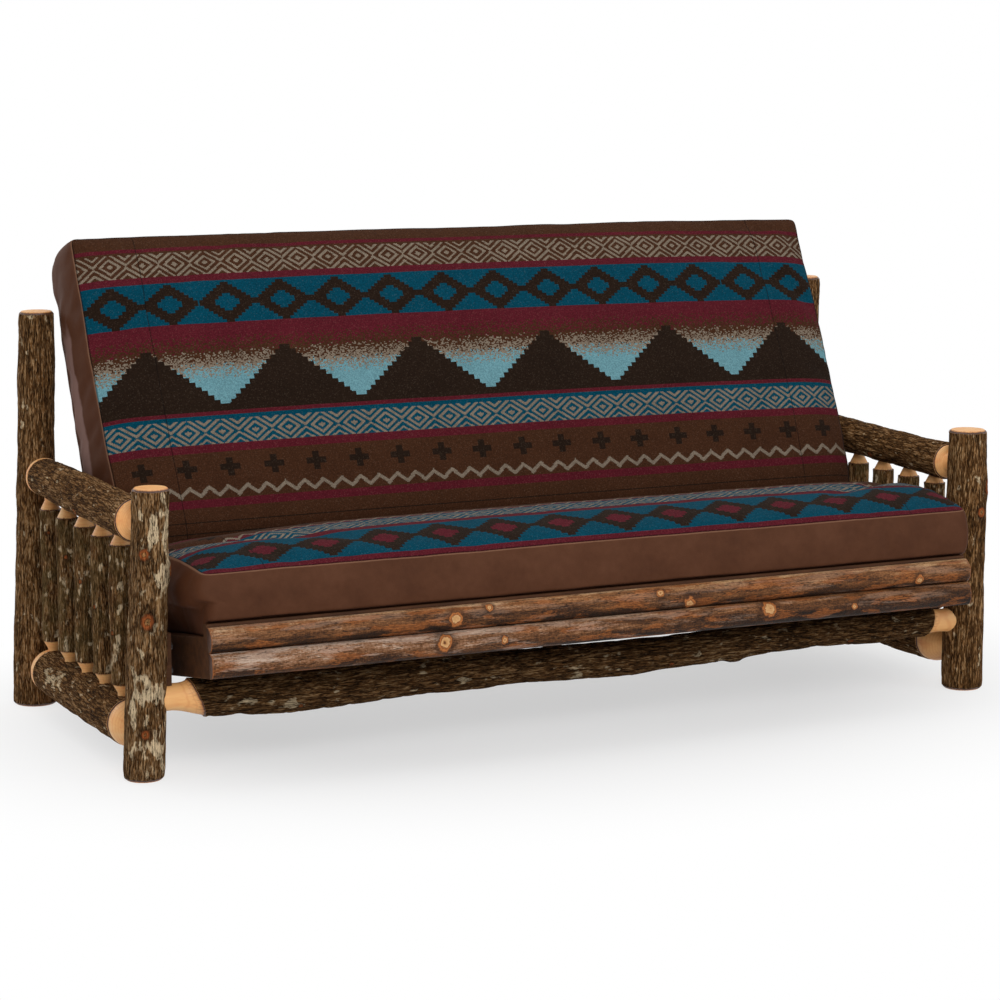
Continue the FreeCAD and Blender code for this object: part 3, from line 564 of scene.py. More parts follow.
def side_logs():
    for turn, hand in enumerate(HANDS):
        arm = "arm_log_" + hand
        at = middle(arm)
        tenon_end = (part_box(arm)[1].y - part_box(arm)[0].y) / 2 - ARM_BARK
        radii = ARM_RADII[hand]
        ends = (turned_end(radii[0], ARM_TENON, ARM_REACH, 4 * MM, tenon_end),
                turned_end(radii[1], ARM_TENON, ARM_REACH + ARM_SHORT, 9 * MM, tenon_end + ARM_SHORT))
        log(arm, "Y", (at.x, at.y - ARM_BARK, at.z), 2 * ARM_BARK - ARM_SHORT, radii, ends, 31 + turn,
            plates=(8 * MM, 44 * MM), relief=3.0 * MM, knots=[(2.6, 0.30, 9, 4)], **ARM_SWAY[hand])
        lower = "lower_log_" + hand
        at = middle(lower)
        tenon_end = (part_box(lower)[1].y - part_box(lower)[0].y) / 2 - LOWER_BARK
        end = turned_end(LOWER_RADIUS, LOWER_TENON, LOWER_REACH, 8 * MM, tenon_end)
        log(lower, "Y", (at.x, at.y - LOWER_BARK, at.z), 2 * LOWER_BARK, (LOWER_RADIUS, LOWER_RADIUS),
            (end, end), 41 + turn, lichen=0.06, patches=[(3.6, 0.36, 30), (3.4, 0.42, 22)])


SPINDLE_FOOT, SPINDLE_TIP, SPINDLE_TENON = 27 * MM, 26 * MM, 13 * MM
SPINDLE_LOW, SPINDLE_HIGH, SPINDLE_CONE = 174 * MM, 480 * MM, 20 * MM


def spindles():
    for turn, hand in enumerate(HANDS):
        for row in range(1, 6):
            node = "spindle_%s_%d" % (hand, row)
            at = middle(node)
            low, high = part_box(node)
            foot = turned_end(SPINDLE_FOOT, SPINDLE_TENON, SPINDLE_CONE, 0.0, SPINDLE_LOW - low.z)
            tip = turned_end(SPINDLE_TIP, SPINDLE_TENON, SPINDLE_CONE, 0.0, high.z - SPINDLE_HIGH)
            seed = 60 + 10 * turn + row
            facing = FACING - 0.5 + 0.35 * math.sin(seed)
            log(node, "Z", (at.x, at.y, SPINDLE_LOW), SPINDLE_HIGH - SPINDLE_LOW, (SPINDLE_FOOT, SPINDLE_TIP),
                (foot, tip), seed, plates=(6 * MM, 30 * MM), relief=1.5 * MM, lichen=0.26, moss=0.6 + 0.1 * row,
                pale=0.8, knots=[(facing, 0.08 + 0.035 * row, 5, 2)],
                bow=(2 * MM * math.sin(seed), 2 * MM * math.cos(seed)))


STRETCHER_BARK = 924 * MM
STRETCHER_TENON, STRETCHER_REACH = 29 * MM, 60 * MM
FRONT_RADII, REAR_RADII = (43 * MM, 34 * MM), (42.5 * MM, 36.5 * MM)

# The front stretcher's waves, as place along it, swelling and rise in metres.
FRONT_WAVES = [(-0.06, 0.0, 0.009), (0.0, 0.0, 0.002), (0.252, 0.0067, -0.0033), (0.530, 0.0017, 0.0022),
               (0.720, -0.0008, -0.001), (1.034, 0.0026, -0.007), (1.184, -0.0005, -0.0025),
               (1.451, -0.0018, 0.0072), (1.717, 0.0, 0.0058), (1.848, 0.0, 0.006)]
FRONT_SLANTS = (17 * MM, 11 * MM)
STRETCHER_FACING = math.radians(215)


def stretchers():
    front = STRETCHER_FACING
    knots = [(front, 0.226, 6, 2), (front, 1.14, 7, 3), (front + 0.5, 1.05, 6, 2), (front + 0.7, 1.32, 12, 9),
             (front, 1.62, 8, 3)]
    patches = [(front - 0.2, 0.193, 18), (front - 0.5, 0.115, 9), (front - 0.3, 0.62, 11), (front - 0.4, 0.69, 9),
               (front, 0.9, 14), (front - 0.3, 1.25, 10)]
    wavy = {"waves": FRONT_WAVES, "slants": FRONT_SLANTS}
    for seed, node, radii, shape in ((91, "front_stretcher", FRONT_RADII, wavy),
                                     (92, "rear_stretcher", REAR_RADII, {})):
        at = middle(node)
        tenon_end = (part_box(node)[1].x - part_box(node)[0].x) / 2 - STRETCHER_BARK
        ends = [turned_end(radius, STRETCHER_TENON, STRETCHER_REACH, -3.5 * MM, tenon_end) for radius in radii]
        # Both stretchers get painted shade of 0.4 for the shadow under the seat deck.
        log(node, "X", (-STRETCHER_BARK, at.y, at.z), 2 * STRETCHER_BARK, radii, ends, seed,
            plates=(10 * MM, 66 * MM), relief=4.2 * MM, lichen=0.1, painted_shade=0.4, pale=0.3, knots=knots, patches=patches,
            **shape)


# Half-logs on the deck's front

SEAT_TILT = math.radians(9.5)
RECLINE = math.radians(27)
CORNER = (103.5 * MM, 226 * MM)
SEAT_ALONG = np.array([-math.cos(SEAT_TILT), math.sin(SEAT_TILT)])
SEAT_UP = np.array([math.sin(SEAT_TILT), math.cos(SEAT_TILT)])
BACK_ALONG = np.array([math.sin(RECLINE), math.cos(RECLINE)])
BACK_OUT = np.array([-math.cos(RECLINE), math.sin(RECLINE)])
DECK_FACE = 596 * MM
DECK_HALF = 943 * MM
HALF_LOG_HIGH = 54 * MM
HALF_LOG_OUT = 25 * MM
HALF_LOG_STEP, HALF_LOG_SIDES = 6 * MM, 26
END_ROUND, END_PULL, END_RIM = 8 * MM, 2.5 * MM, 5 * MM
HALF_LOG_ARC = 1.35 * HALF_LOG_HIGH

# Knots by place along, share round the face, and radius and height in millimetres.
HALF_LOG_KNOTS = {
    "upper_half_log": [(-0.383, 0.46, 19, 5), (0.193, 0.30, 17, 5), (0.12, 0.66, 11, 2), (-0.30, 0.72, 11, 1),
                       (0.80, 0.36, 13, 3)],
    "lower_half_log": [(-0.412, 0.55, 21, 7), (-0.27, 0.46, 10, 2), (0.393, 0.62, 22, 6), (0.62, 0.45, 9, 2)],
}

# Greyness and lightness of the half-logs at four places, from the left end to the right.
TONE_PLACES = (-1.0, -0.4, 0.2, 1.0)
HALF_LOG_TONES = {
    "upper_half_log": {"grey": (0.3, 0.1, 0.05, 0.1), "tone": (0.0, -0.03, -0.02, 0.02)},
    "lower_half_log": {"grey": (1.0, 0.9, 0.3, 0.1), "tone": (0.06, 0.05, -0.08, -0.14)},
}


def section_place(along, out, on_back):
    """Place points by their reach along the seat's or back's deck, from the fold's corner, and out from it."""
    seat = np.array(CORNER) + along[:, None] * SEAT_ALONG + out[:, None] * SEAT_UP
    back = np.array(CORNER) + along[:, None] * BACK_ALONG + out[:, None] * BACK_OUT
    return np.where(on_back[:, None], back, seat)


def half_log(node, low, seed):
    """Sweep a split log along the deck's front, with knots, a little sway and cut ends."""
    columns = round(2 * DECK_HALF / HALF_LOG_STEP)
    sides, width = HALF_LOG_SIDES, HALF_LOG_SIDES + 1
    x = np.repeat(np.linspace(-DECK_HALF, DECK_HALF, columns + 1), width)
    share = np.tile(np.linspace(0.0, 1.0, width), columns + 1)
    angle = np.pi * (share - 0.5)
    forward, upward = np.cos(angle), np.sin(angle)
    noise_at = np.column_stack([x / (160 * MM), forward, upward])
    fine_at = np.column_stack([x / (34 * MM), 3.5 * forward, 3.5 * upward])
    ring = np.full(len(x), FAR)
    swell = np.zeros(len(x))
    for knot_x, knot_share, size, height in HALF_LOG_KNOTS[node]:
        away = np.hypot(x - knot_x, (share - knot_share) * HALF_LOG_ARC) / (size * MM)
        ring = np.minimum(ring, away)
        swell += height * MM * (np.exp(-(away / 1.4) ** 2) - 0.5 * np.exp(-(away / 0.35) ** 2))
    from_end = DECK_HALF - np.abs(x)
    bulge = HALF_LOG_OUT + lattice(noise_at, seed) * 3.2 * MM + lattice(fine_at, seed + 1) * 1.2 * MM + swell
    bulge -= (1 - np.minimum(from_end, END_ROUND) / END_ROUND) ** 2 * END_PULL
    out = DECK_FACE + forward ** 0.8 * bulge
    up = low + HALF_LOG_HIGH * (0.5 + 0.5 * upward) + lattice(noise_at + 40, seed + 2) * 1.4 * MM * forward
    points = np.column_stack([x, section_place(out, up, np.zeros(len(x), bool))])
    faces = []
    for first in range(0, columns * width, width):
        faces += [(at, at + 1, at + width + 1, at + width) for at in range(first, first + sides)]
        faces.append((first, first + width, first + width + sides, first + sides))
    indices = [0] * len(faces) + [1, 1]
    faces += [tuple(range(first, first + width)) for first in (0, columns * width)]
    piece = new_mesh(node + "_wood", points, faces, [SPLIT, PEELED], indices)
    tones = {name: np.interp(x / DECK_HALF, TONE_PLACES, values) for name, values in HALF_LOG_TONES[node].items()}
    set_values(piece, grain=np.column_stack([x, out - DECK_FACE, up]) + seed * 0.71, side=share, knot=ring,
               rim=unit(1 - from_end / END_RIM), reach=np.hypot(out - DECK_FACE, up - low - HALF_LOG_HIGH / 2),
               **tones)
    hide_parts(node)
    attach(piece, "seat")


def half_logs():
    half_log("lower_half_log", -89 * MM, 121)
    half_log("upper_half_log", -34.5 * MM, 131)


# Mattress

TEAL, WINE, BROWN = (2, 70, 90), (92, 28, 38), (72, 44, 28)
SKY, TAUPE, FIGURE = (112, 160, 170), (136, 122, 106), (40, 28, 20)
CELL_U, CELL_V = 3.2 * MM, 2.4 * MM
THREAD_U, THREAD_V = 2.2 * MM, 1.8 * MM
RIB_U, RIB_V = 4.0 * MM, 3.0 * MM
STITCH_HALF, EDGE_LINE = 1.3 * MM, 3.0 * MM
PANEL_SPAN = 1.3
PANEL_SEAM = 0.806

# Ground colours of the woven bands, as the run from the front seam where each starts.
BANDS = [(0.0, WINE), (0.012, TEAL), (0.132, WINE), (0.148, TEAL), (0.216, WINE), (0.234, BROWN), (0.336, WINE),
         (0.354, BROWN), (0.560, WINE), (0.580, BROWN), (0.690, WINE), (0.706, TEAL), (0.772, WINE), (0.790, SKY),
         (0.980, WINE), (0.998, TEAL), (1.106, WINE), (1.122, BROWN), (1.186, WINE), (1.198, BROWN)]


class Weave:
    """Motif masks of a woven band, worked out on whole cells of the weave."""

    def __init__(self, paint):
        place = paint.node("SeparateXYZ", "X", Vector=paint.place)[0]
        self.paint = paint
        self.raw_u, self.raw_v = Field(paint, place.outputs["X"]), Field(paint, place.outputs["Y"])
        self.column, self.row = (self.raw_u / CELL_U).floor(), (self.raw_v / CELL_V).floor()
        self.u, self.v = (self.column + 0.5) * CELL_U, (self.row + 0.5) * CELL_V

    def inside(self, low, high):
        return (self.v > low) * (self.v < high)

    def rise(self, low, high):
        return (self.v - low) / (high - low)

    def swing(self, pitch, shift=0.0):
        """Go from 0 at each motif's middle to 1 half a pitch away."""
        return abs((self.u / pitch + shift).fract() - 0.5) * 2.0

    def peaks(self, low, high, pitch, steps, shift=0.0):
        stair = (self.swing(pitch, shift) * steps).floor() / steps
        return self.inside(low, high) * (self.rise(low, high) + stair < 1.0)

    def lozenges(self, low, high, pitch, steps, size=1.0, shift=0.0):
        stair = (self.swing(pitch, shift) * steps).floor() / steps
        tall = (abs(self.rise(low, high) - 0.5) * 2.0 * steps).floor() / steps
        return self.inside(low, high) * (tall + stair < size)

    def nested(self, low, high, pitch, rings):
        value = abs(self.rise(low, high) - 0.5) * 2.0 + self.swing(pitch)
        return self.inside(low, high) * ((value * rings).fract() < 0.42)

    def zigzag(self, low, high, pitch, thick):
        away = abs(self.rise(low, high) - (self.swing(pitch) * 0.56 + 0.22))
        return self.inside(low, high) * (away < thick)

    def crosses(self, low, high, pitch):
        tall, wide = abs(self.rise(low, high) - 0.5) * 2.0, self.swing(pitch)
        upright = (wide < 0.16) * (tall < 0.72)
        arms = (wide < 0.46) * (tall < 0.26)
        return self.inside(low, high) * upright.larger(arms)

    def stripes(self, low, high, pitch, share):
        return self.inside(low, high) * (((self.v - low) / pitch).fract() < share)

    def chance(self, column, row):
        """A random number for each cell."""
        place = self.paint.node("CombineXYZ", "Vector", X=column, Y=row)[1]
        return self.paint.node("TexWhiteNoise", "Value", Vector=place)[1]

    def dither(self, low, high):
        """Change from 0 to 1 between low and high by more and more single threads."""
        return self.rise(low, high) > self.chance(self.column, self.row)


def fabric_material():
    """Thick woven blanket cloth with banded geometric motifs, ribs and loose threads."""
    paint = Paint("Fabric", "cloth", Roughness=0.95, Specular_IOR_Level=0.04, Sheen_Weight=0.03, Sheen_Roughness=0.5)
    weave = Weave(paint)
    stops = [(start / PANEL_SPAN, *shade) for start, shade in BANDS]
    ground = paint.ramp(weave.v / PANEL_SPAN, *stops, interpolation="CONSTANT")
    sky = weave.inside(0.790, 0.980)
    ombre = [(sky * weave.dither(0.862, 0.904), TAUPE), (sky * weave.dither(0.890, 0.936), BROWN),
             (sky * weave.dither(0.926, 0.972), WINE)]
    figures = [
        (weave.lozenges(0.020, 0.124, 0.142, 7), FIGURE),
        (weave.lozenges(0.020, 0.124, 0.142, 7, 0.3), WINE),
        (weave.nested(0.152, 0.212, 0.084, 2.0), TAUPE),
        (weave.crosses(0.254, 0.316, 0.110), FIGURE),
        (weave.stripes(0.362, 0.540, 0.024, 0.14), FIGURE),
        (weave.zigzag(0.584, 0.618, 0.046, 0.15), TAUPE),
        (weave.crosses(0.626, 0.684, 0.104), FIGURE),
        (weave.nested(0.710, 0.768, 0.080, 2.0), TAUPE),
        (weave.peaks(0.792, 0.938, 0.330, 13), FIGURE),
        (weave.peaks(0.792, 0.846, 0.165, 7), FIGURE),
        (weave.stripes(0.786, 0.796, 0.02, 0.5), FIGURE),
        (weave.lozenges(1.002, 1.102, 0.136, 7), FIGURE),
        (weave.lozenges(1.002, 1.102, 0.136, 7, 0.3), TEAL),
        (weave.nested(1.124, 1.184, 0.076, 2.0), TAUPE),
        (weave.zigzag(0.216, 0.250, 0.040, 0.14), TAUPE),
    ]
    u, v = weave.raw_u, weave.raw_v
    edge = v.smaller(v * -1.0 + PANEL_RUN).smaller(abs(u) * -1.0 + MATTRESS_HALF)
    seam = (abs(abs(u) - PANEL_SEAM) < STITCH_HALF).larger(edge < EDGE_LINE)
    colour = paint.layers(ground, *ombre, *figures, (seam * 0.6, (20, 14, 12)))
    fleck = weave.chance((u / THREAD_U).floor(), (v / THREAD_V).floor())
    worn = paint.noise((9, 9, 1), 3.0)
    shaded = paint.vector_math("SCALE", colour, "Scale", fleck * 0.46 + worn * 0.35 + 0.50)
    colour = paint.layers(shaded, (paint.mask(fleck, 0.90, 0.98) * 0.09, TAUPE))
    rib = (u / RIB_U).fract().math("PINGPONG", 0.5) + (v / RIB_V).fract().math("PINGPONG", 0.5)
    return paint.finish(colour, None, rib * 0.8 + fleck * 0.5, 0.0010, 0.6)


def suede_material():
    """Soft brown suede with a worn nap and a pale sheen where light grazes it, a painted pale highlight strip along the
    back's side boxing, and painted shade on the side boxing.
    """
    paint = Paint("Suede", "rest_place", Roughness=0.6, Specular_IOR_Level=0.06, Sheen_Weight=0.03, Sheen_Roughness=0.4)
    paint.shader.inputs["Sheen Tint"].default_value = tint(226, 196, 190)
    nap_and_side_shade = paint.noise((11, 14, 14), 4.0)
    fine = paint.noise((420, 420, 420), 3.0)
    mottled = paint.noise((60, 60, 60), 3.0)
    # Painted highlight: a pale lilac strip along the ridge of the back's side boxing.
    painted_sheen = paint.mask(paint.attribute("painted_sheen") + (nap_and_side_shade - 0.5) * 0.5 + (mottled - 0.5) * 0.4, 0.25, 0.85)
    piping = paint.mask(paint.attribute("boxing") + (mottled - 0.5) * 0.02, 0.034, 0.016)
    colour = paint.layers(
        paint.ramp(nap_and_side_shade * 0.6 + mottled * 0.25 + fine * 0.15, (0.3, 76, 46, 31), (0.5, 87, 54, 37), (0.72, 97, 62, 44)),
        # Painted shade: the side boxing is darker than the front.
        (paint.attribute("nap_and_side_shade") * 0.55, (72, 36, 14)),
        (painted_sheen * 0.68, (150, 119, 111)),
        (piping * 0.5, (150, 112, 88)))
    return paint.finish(colour, None, fine * 0.5 + mottled * 0.5, 0.0006, 0.5)


MATTRESS_HALF = 951 * MM
SEAT_FRONT = 600 * MM
FRONT_HIGH, CREASE_HIGH, SEAT_CROWN = 138 * MM, 172 * MM, 52 * MM
SEAT_FALL = (0.5, 0.06)
BACK_THICK, BACK_CROWN, BACK_SEAM = 156 * MM, 24 * MM, 888 * MM
FOLD_HALF = (math.pi / 2 + RECLINE - SEAT_TILT) / 2
CREASE_REACH = CREASE_HIGH / math.tan(FOLD_HALF)
SEAT_RUN = SEAT_FRONT - CREASE_REACH
BACK_RUN = BACK_SEAM - CREASE_REACH
PANEL_RUN = SEAT_RUN + BACK_RUN
CREASE_DEEP, CREASE_WIDE = 26 * MM, 34 * MM
EDGE_DROP, EDGE_WIDE = 6 * MM, 36 * MM
CORNER_ROUND = 9 * MM
BACK_SPREAD, TOP_LEAN = 0.010, 11 * MM
TUCK, TUCK_RUN = 9 * MM, 160 * MM
CLOTH_STEP, BOXING_ROWS = 16 * MM, 12
SIDE_PUFF, FRONT_PUFF, TOP_PUFF = 10 * MM, 6 * MM, 8 * MM

# The underside's line below the seat and behind the back, along and out from the deck in millimetres.
SEAT_UNDER = [(599, 33), (573, 31), (564, 1.5), (1.5, 1.5)]
BACK_UNDER = [(1.5, 1.5), (794, 1.5), (806, -13), (832, -24), (888, -12)]

# How far the top edge is raised in millimetres, by place from the left end to the right.
TOP_LIFT = [(-1.0, 11), (-0.5, 10.5), (0.0, 9.5), (0.5, 5), (0.85, 0), (1.0, -5)]

# The ridge on the back's boxing: its height, its rise up the back, and the pale strip painted along it as a highlight.
RIDGE_HIGH, RIDGE_REAR, RIDGE_SHARE, RIGHT_RIDGE = 20 * MM, 12 * MM, 0.58, 0.2
RIDGE_RUN = ((0.0, 0.15, 0.7, 0.97), (0, 1, 1, 0.35))
PAINTED_SHEEN_RUN = ((0.05, 0.16, 0.72, 0.84), (0, 1, 1, 0))
PAINTED_SHEEN_SHARES = ((0.40, 0.46, 0.78, 0.86), (0, 1, 1, 0))

# The fold of the boxing over itself at the seat's left end.
SHELF_SHARE, SHELF_OUT, SHELF_STEP, SHELF_TUCK = 0.57, 9 * MM, 24 * MM, 30 * MM
SHELF_SOFT, SHELF_WAVE, SHELF_PITCH = 0.03, 0.04, 90 * MM
SHELF_SIDE, SHELF_SIDE_RUN = 800 * MM, 150 * MM
SHELF_REAR, SHELF_REAR_RUN = 50 * MM, 100 * MM
TUCK_FRONT, TUCK_FRONT_RUN = 500 * MM, 250 * MM

# Creases: where they start at the sides, their size and depth, and the soft waves as size and depth.
SIDE_START, SIDE_WIDE = 860 * MM, 80 * MM
CREASE_SIZE, CREASE_PRESS = np.array([50, 30, 50]) * MM, 4.0 * MM
SOFT_WAVES = ((202, 110 * MM, 1.6 * MM), (203, 45 * MM, 0.7 * MM))

# The cloth simulation that swells the cover.
CLOTH_FRAMES, PUFF_LIMIT = 20, 13 * MM
CLOTH = {"quality": 5, "mass": 0.4, "tension_stiffness": 20, "compression_stiffness": 20, "shear_stiffness": 12,
         "bending_stiffness": 1.5, "use_pressure": True, "uniform_pressure_force": 4.0, "shrink_min": -0.012,
         "vertex_group_mass": "held"}

FABRIC = fabric_material()
SUEDE = suede_material()


def arched(start, end, crown, share):
    """Go from start to end, with a crown between them."""
    return start + (end - start) * share + 4 * crown * share * (1 - share)


def panel_points(x, run):
    """Place points of the top panel by their width and their run from the front seam."""
    on_back = run > SEAT_RUN
    seat_share = unit(run / SEAT_RUN)
    back_share = unit((run - SEAT_RUN) / BACK_RUN)
    across = unit(np.abs(x) / MATTRESS_HALF)
    seat_crown = SEAT_CROWN * (1 - np.where(x < 0, *SEAT_FALL) * across ** 4)
    along = np.where(on_back, CREASE_REACH + back_share * BACK_RUN, SEAT_FRONT - seat_share * SEAT_RUN)
    high = np.where(on_back, arched(CREASE_HIGH, BACK_THICK, BACK_CROWN * (1 - across ** 3), back_share),
                    arched(FRONT_HIGH, CREASE_HIGH, seat_crown, seat_share))
    high -= CREASE_DEEP * np.exp(-((run - SEAT_RUN) / CREASE_WIDE) ** 2)
    edge = np.minimum(MATTRESS_HALF - np.abs(x), np.minimum(run, PANEL_RUN - run))
    high -= EDGE_DROP * np.exp(-np.clip(edge, 0, None) / EDGE_WIDE)
    x = x + TUCK * np.exp(-run / TUCK_RUN) * unit(-x / MATTRESS_HALF) ** 6
    return np.column_stack([widened(x, back_share), section_place(along + lift(x, back_share), high, on_back)])


def widened(x, share):
    """Widen the back part, which no arm holds in, and let it lean a little to the right."""
    return x * (1 + BACK_SPREAD * unit(share * 3)) + TOP_LEAN * share


def lift(x, share):
    """Raise the top edge towards its left end, where the mattress was shaken up."""
    return share * np.interp(x / MATTRESS_HALF, *zip(*TOP_LIFT)) * MM


def under_points(x, run):
    """Place points of the underside below the same points of the top panel."""
    on_back = run > SEAT_RUN
    share = np.where(on_back, (run - SEAT_RUN) / BACK_RUN, run / SEAT_RUN)
    along, out = np.zeros(len(run)), np.zeros(len(run))
    for chosen, line in ((~on_back, SEAT_UNDER), (on_back, BACK_UNDER)):
        points = np.array(line) * MM
        length = np.concatenate([[0], np.cumsum(np.hypot(*np.diff(points, axis=0).T))])
        along[chosen] = np.interp(share[chosen] * length[-1], length, points[:, 0])
        out[chosen] = np.interp(share[chosen] * length[-1], length, points[:, 1])
    back_share = np.where(on_back, share, 0)
    raised = along + lift(x, unit(4 * back_share - 3))
    return np.column_stack([widened(x, back_share), section_place(raised, out, on_back)])


def round_corners(x, run):
    """Round the panel's four corners, and give the outward way of each point in the panel."""
    side = np.sign(x)
    far = run > PANEL_RUN / 2
    across = unit(1 - (MATTRESS_HALF - np.abs(x)) / CORNER_ROUND)
    onward = unit(1 - np.where(far, PANEL_RUN - run, run) / CORNER_ROUND)
    length = np.maximum(np.hypot(across, onward), 1e-9)
    pull = np.maximum(across, onward) / length
    new_x = x + side * across * (pull - 1) * CORNER_ROUND
    new_run = run + np.where(far, 1, -1) * onward * (pull - 1) * CORNER_ROUND
    return new_x, new_run, side * across / length, np.where(far, 1, -1) * onward / length


def mattress_mesh():
    """Build the mattress as a top panel, an underside and a boxing strip round both.

    Give its points, faces and material indices, how firm each point's seam is, which points are below, and the values
    that its materials take.
    """
    columns = round(2 * MATTRESS_HALF / CLOTH_STEP) + 1
    rows = round(PANEL_RUN / CLOTH_STEP) + 1
    panel = rows * columns
    flat_x = np.tile(np.linspace(-MATTRESS_HALF, MATTRESS_HALF, columns), rows)
    flat_run = np.repeat(np.linspace(0, PANEL_RUN, rows), columns)
    x, run, way_x, way_run = round_corners(flat_x, flat_run)
    top = panel_points(x, run)
    under = under_points(x, run)
    grid = np.arange(panel).reshape(rows, columns)
    ring = np.concatenate([grid[0], grid[1:, -1], grid[-1, -2::-1], grid[-2:0:-1, 0]])
    way_x, way_run = way_x[ring], way_run[ring]
    ahead = np.where((way_run > 0)[:, None], BACK_ALONG, -SEAT_ALONG)
    outward = np.column_stack([way_x, ahead * way_run[:, None]])
    puff = np.abs(way_x) * SIDE_PUFF + np.abs(way_run) * np.where(way_run > 0, TOP_PUFF, FRONT_PUFF)
    back_share = unit((run[ring] - SEAT_RUN) / BACK_RUN)
    ridge = np.interp(back_share, *RIDGE_RUN) * (np.clip(way_x, -1, RIGHT_RIDGE) * np.sign(way_x))
    under[ring] += outward * (ridge * RIDGE_REAR)[:, None]
    shares = np.arange(1, BOXING_ROWS) / BOXING_ROWS
    boxing, painted_sheen = [], []
    for share in shares:
        line = top[ring] + (under[ring] - top[ring]) * share
        fold = np.interp(share, (0.0, RIDGE_SHARE, 1.0), (0.0, RIDGE_HIGH - RIDGE_REAR * RIDGE_SHARE, 0.0))
        swell = puff * (1 - ridge) * math.sin(math.pi * share) ** 0.65 + ridge * fold
        boxing.append(line + outward * swell[:, None])
        # Painted highlight: the strength of the pale strip along the ridge, by share down the boxing and run up the
        # back.
        painted_sheen.append(np.interp(share, *PAINTED_SHEEN_SHARES) * ridge * np.interp(back_share, *PAINTED_SHEEN_RUN))
    points = np.vstack([top, under, *boxing])
    quads = np.stack([grid[:-1, :-1], grid[:-1, 1:], grid[1:, 1:], grid[1:, :-1]], axis=-1).reshape(-1, 4)
    loops = [ring, *(2 * panel + np.arange(len(shares) * len(ring)).reshape(-1, len(ring))), ring + panel]
    faces = [quads, quads[:, [0, 3, 2, 1]] + panel]
    faces += [np.column_stack([upper, lower, np.roll(lower, -1), np.roll(upper, -1)])
              for upper, lower in zip(loops, loops[1:])]
    faces = np.vstack(faces).tolist()
    indices = [0] * len(quads) + [1] * (len(faces) - len(quads))
    seam = np.zeros(len(points))
    seam[ring] = 1
    seam[ring + panel] = 1
    seam[loops[round(RIDGE_SHARE * BOXING_ROWS)]] = ridge
    below = np.zeros(len(points))
    below[panel:2 * panel] = 1
    on_panels = np.zeros(2 * panel)
    cloth = np.column_stack([np.tile(x, 2), np.tile(run, 2), on_panels])
    values = {
        "cloth": np.vstack([cloth] + [cloth[ring]] * len(shares)),
        "rest_place": points,
        "painted_sheen": np.concatenate([on_panels, *painted_sheen]),
        # Painted shade: the side boxing is darkened by how far each point faces sideways.
        "nap_and_side_shade": np.concatenate([on_panels, np.tile(np.abs(way_x), len(shares))]),
        "boxing": np.concatenate([below[:2 * panel], np.repeat(shares, len(ring))]),
    }
    return points, faces, indices, seam, below, values


def evaluated(piece):
    return piece.evaluated_get(bpy.context.evaluated_depsgraph_get())


def puff_up(piece, held):
    """Swell the mattress with a short cloth simulation, limit the swell and keep the shape."""
    rest = read_vectors(piece.data.vertices, "co")
    pins = piece.vertex_groups.new(name="held")
    for index in np.nonzero(held)[0]:
        pins.add([int(index)], float(held[index]), "REPLACE")
    modifier = piece.modifiers.new("Swell", "CLOTH")
    for name, value in CLOTH.items():
        setattr(modifier.settings, name, value)
    modifier.settings.effector_weights.gravity = 0
    modifier.collision_settings.use_collision = False
    scene = bpy.context.scene
    for step in range(1, CLOTH_FRAMES + 1):
        scene.frame_set(step)
    move = read_vectors(evaluated(piece).to_mesh().vertices, "co") - rest
    length = np.maximum(np.linalg.norm(move, axis=1, keepdims=True), 1e-9)
    move *= np.tanh(length / PUFF_LIMIT) * PUFF_LIMIT / length
    evaluated(piece).to_mesh_clear()
    piece.modifiers.remove(modifier)
    piece.vertex_groups.remove(pins)
    scene.frame_set(1)
    piece.data.vertices.foreach_set("co", (rest + move).ravel())
    piece.data.update()


def refine(piece, seam):
    """Subdivide once, with the seams kept firm."""
    mesh = piece.data
    creases = mesh.attributes.new("crease_edge", "FLOAT", "EDGE")
    ends = np.empty(len(mesh.edges) * 2, np.int32)
    mesh.edges.foreach_get("vertices", ends)
    ends = ends.reshape(-1, 2)
    creases.data.foreach_set("value", (0.75 * seam[ends[:, 0]] * seam[ends[:, 1]]).astype(np.float32))
    modifier = piece.modifiers.new("Fine", "SUBSURF")
    modifier.levels = 1
    modifier.render_levels = 1
    fine = bpy.data.meshes.new_from_object(evaluated(piece))
    piece.modifiers.remove(modifier)
    piece.data = fine


def folded_end(place, boxing):
    """Fold the boxing over itself at the seat's left end: how far each point moves to the right."""
    x, y, _ = place.T
    reach = unit((-x - SHELF_SIDE) / SHELF_SIDE_RUN) * unit((SHELF_REAR - y) / SHELF_REAR_RUN)
    line = boxing + SHELF_WAVE * lattice(place / SHELF_PITCH, 204)
    behind = unit((y + TUCK_FRONT) / TUCK_FRONT_RUN)
    upper = -SHELF_OUT * np.sin(np.pi * unit(line / SHELF_SHARE))
    step = unit((line - SHELF_SHARE) / SHELF_SOFT)
    below = unit((line - SHELF_SHARE) / (1 - SHELF_SHARE))
    return reach * (upper + step * SHELF_STEP * (1 - 0.6 * below) + below * behind * SHELF_TUCK)


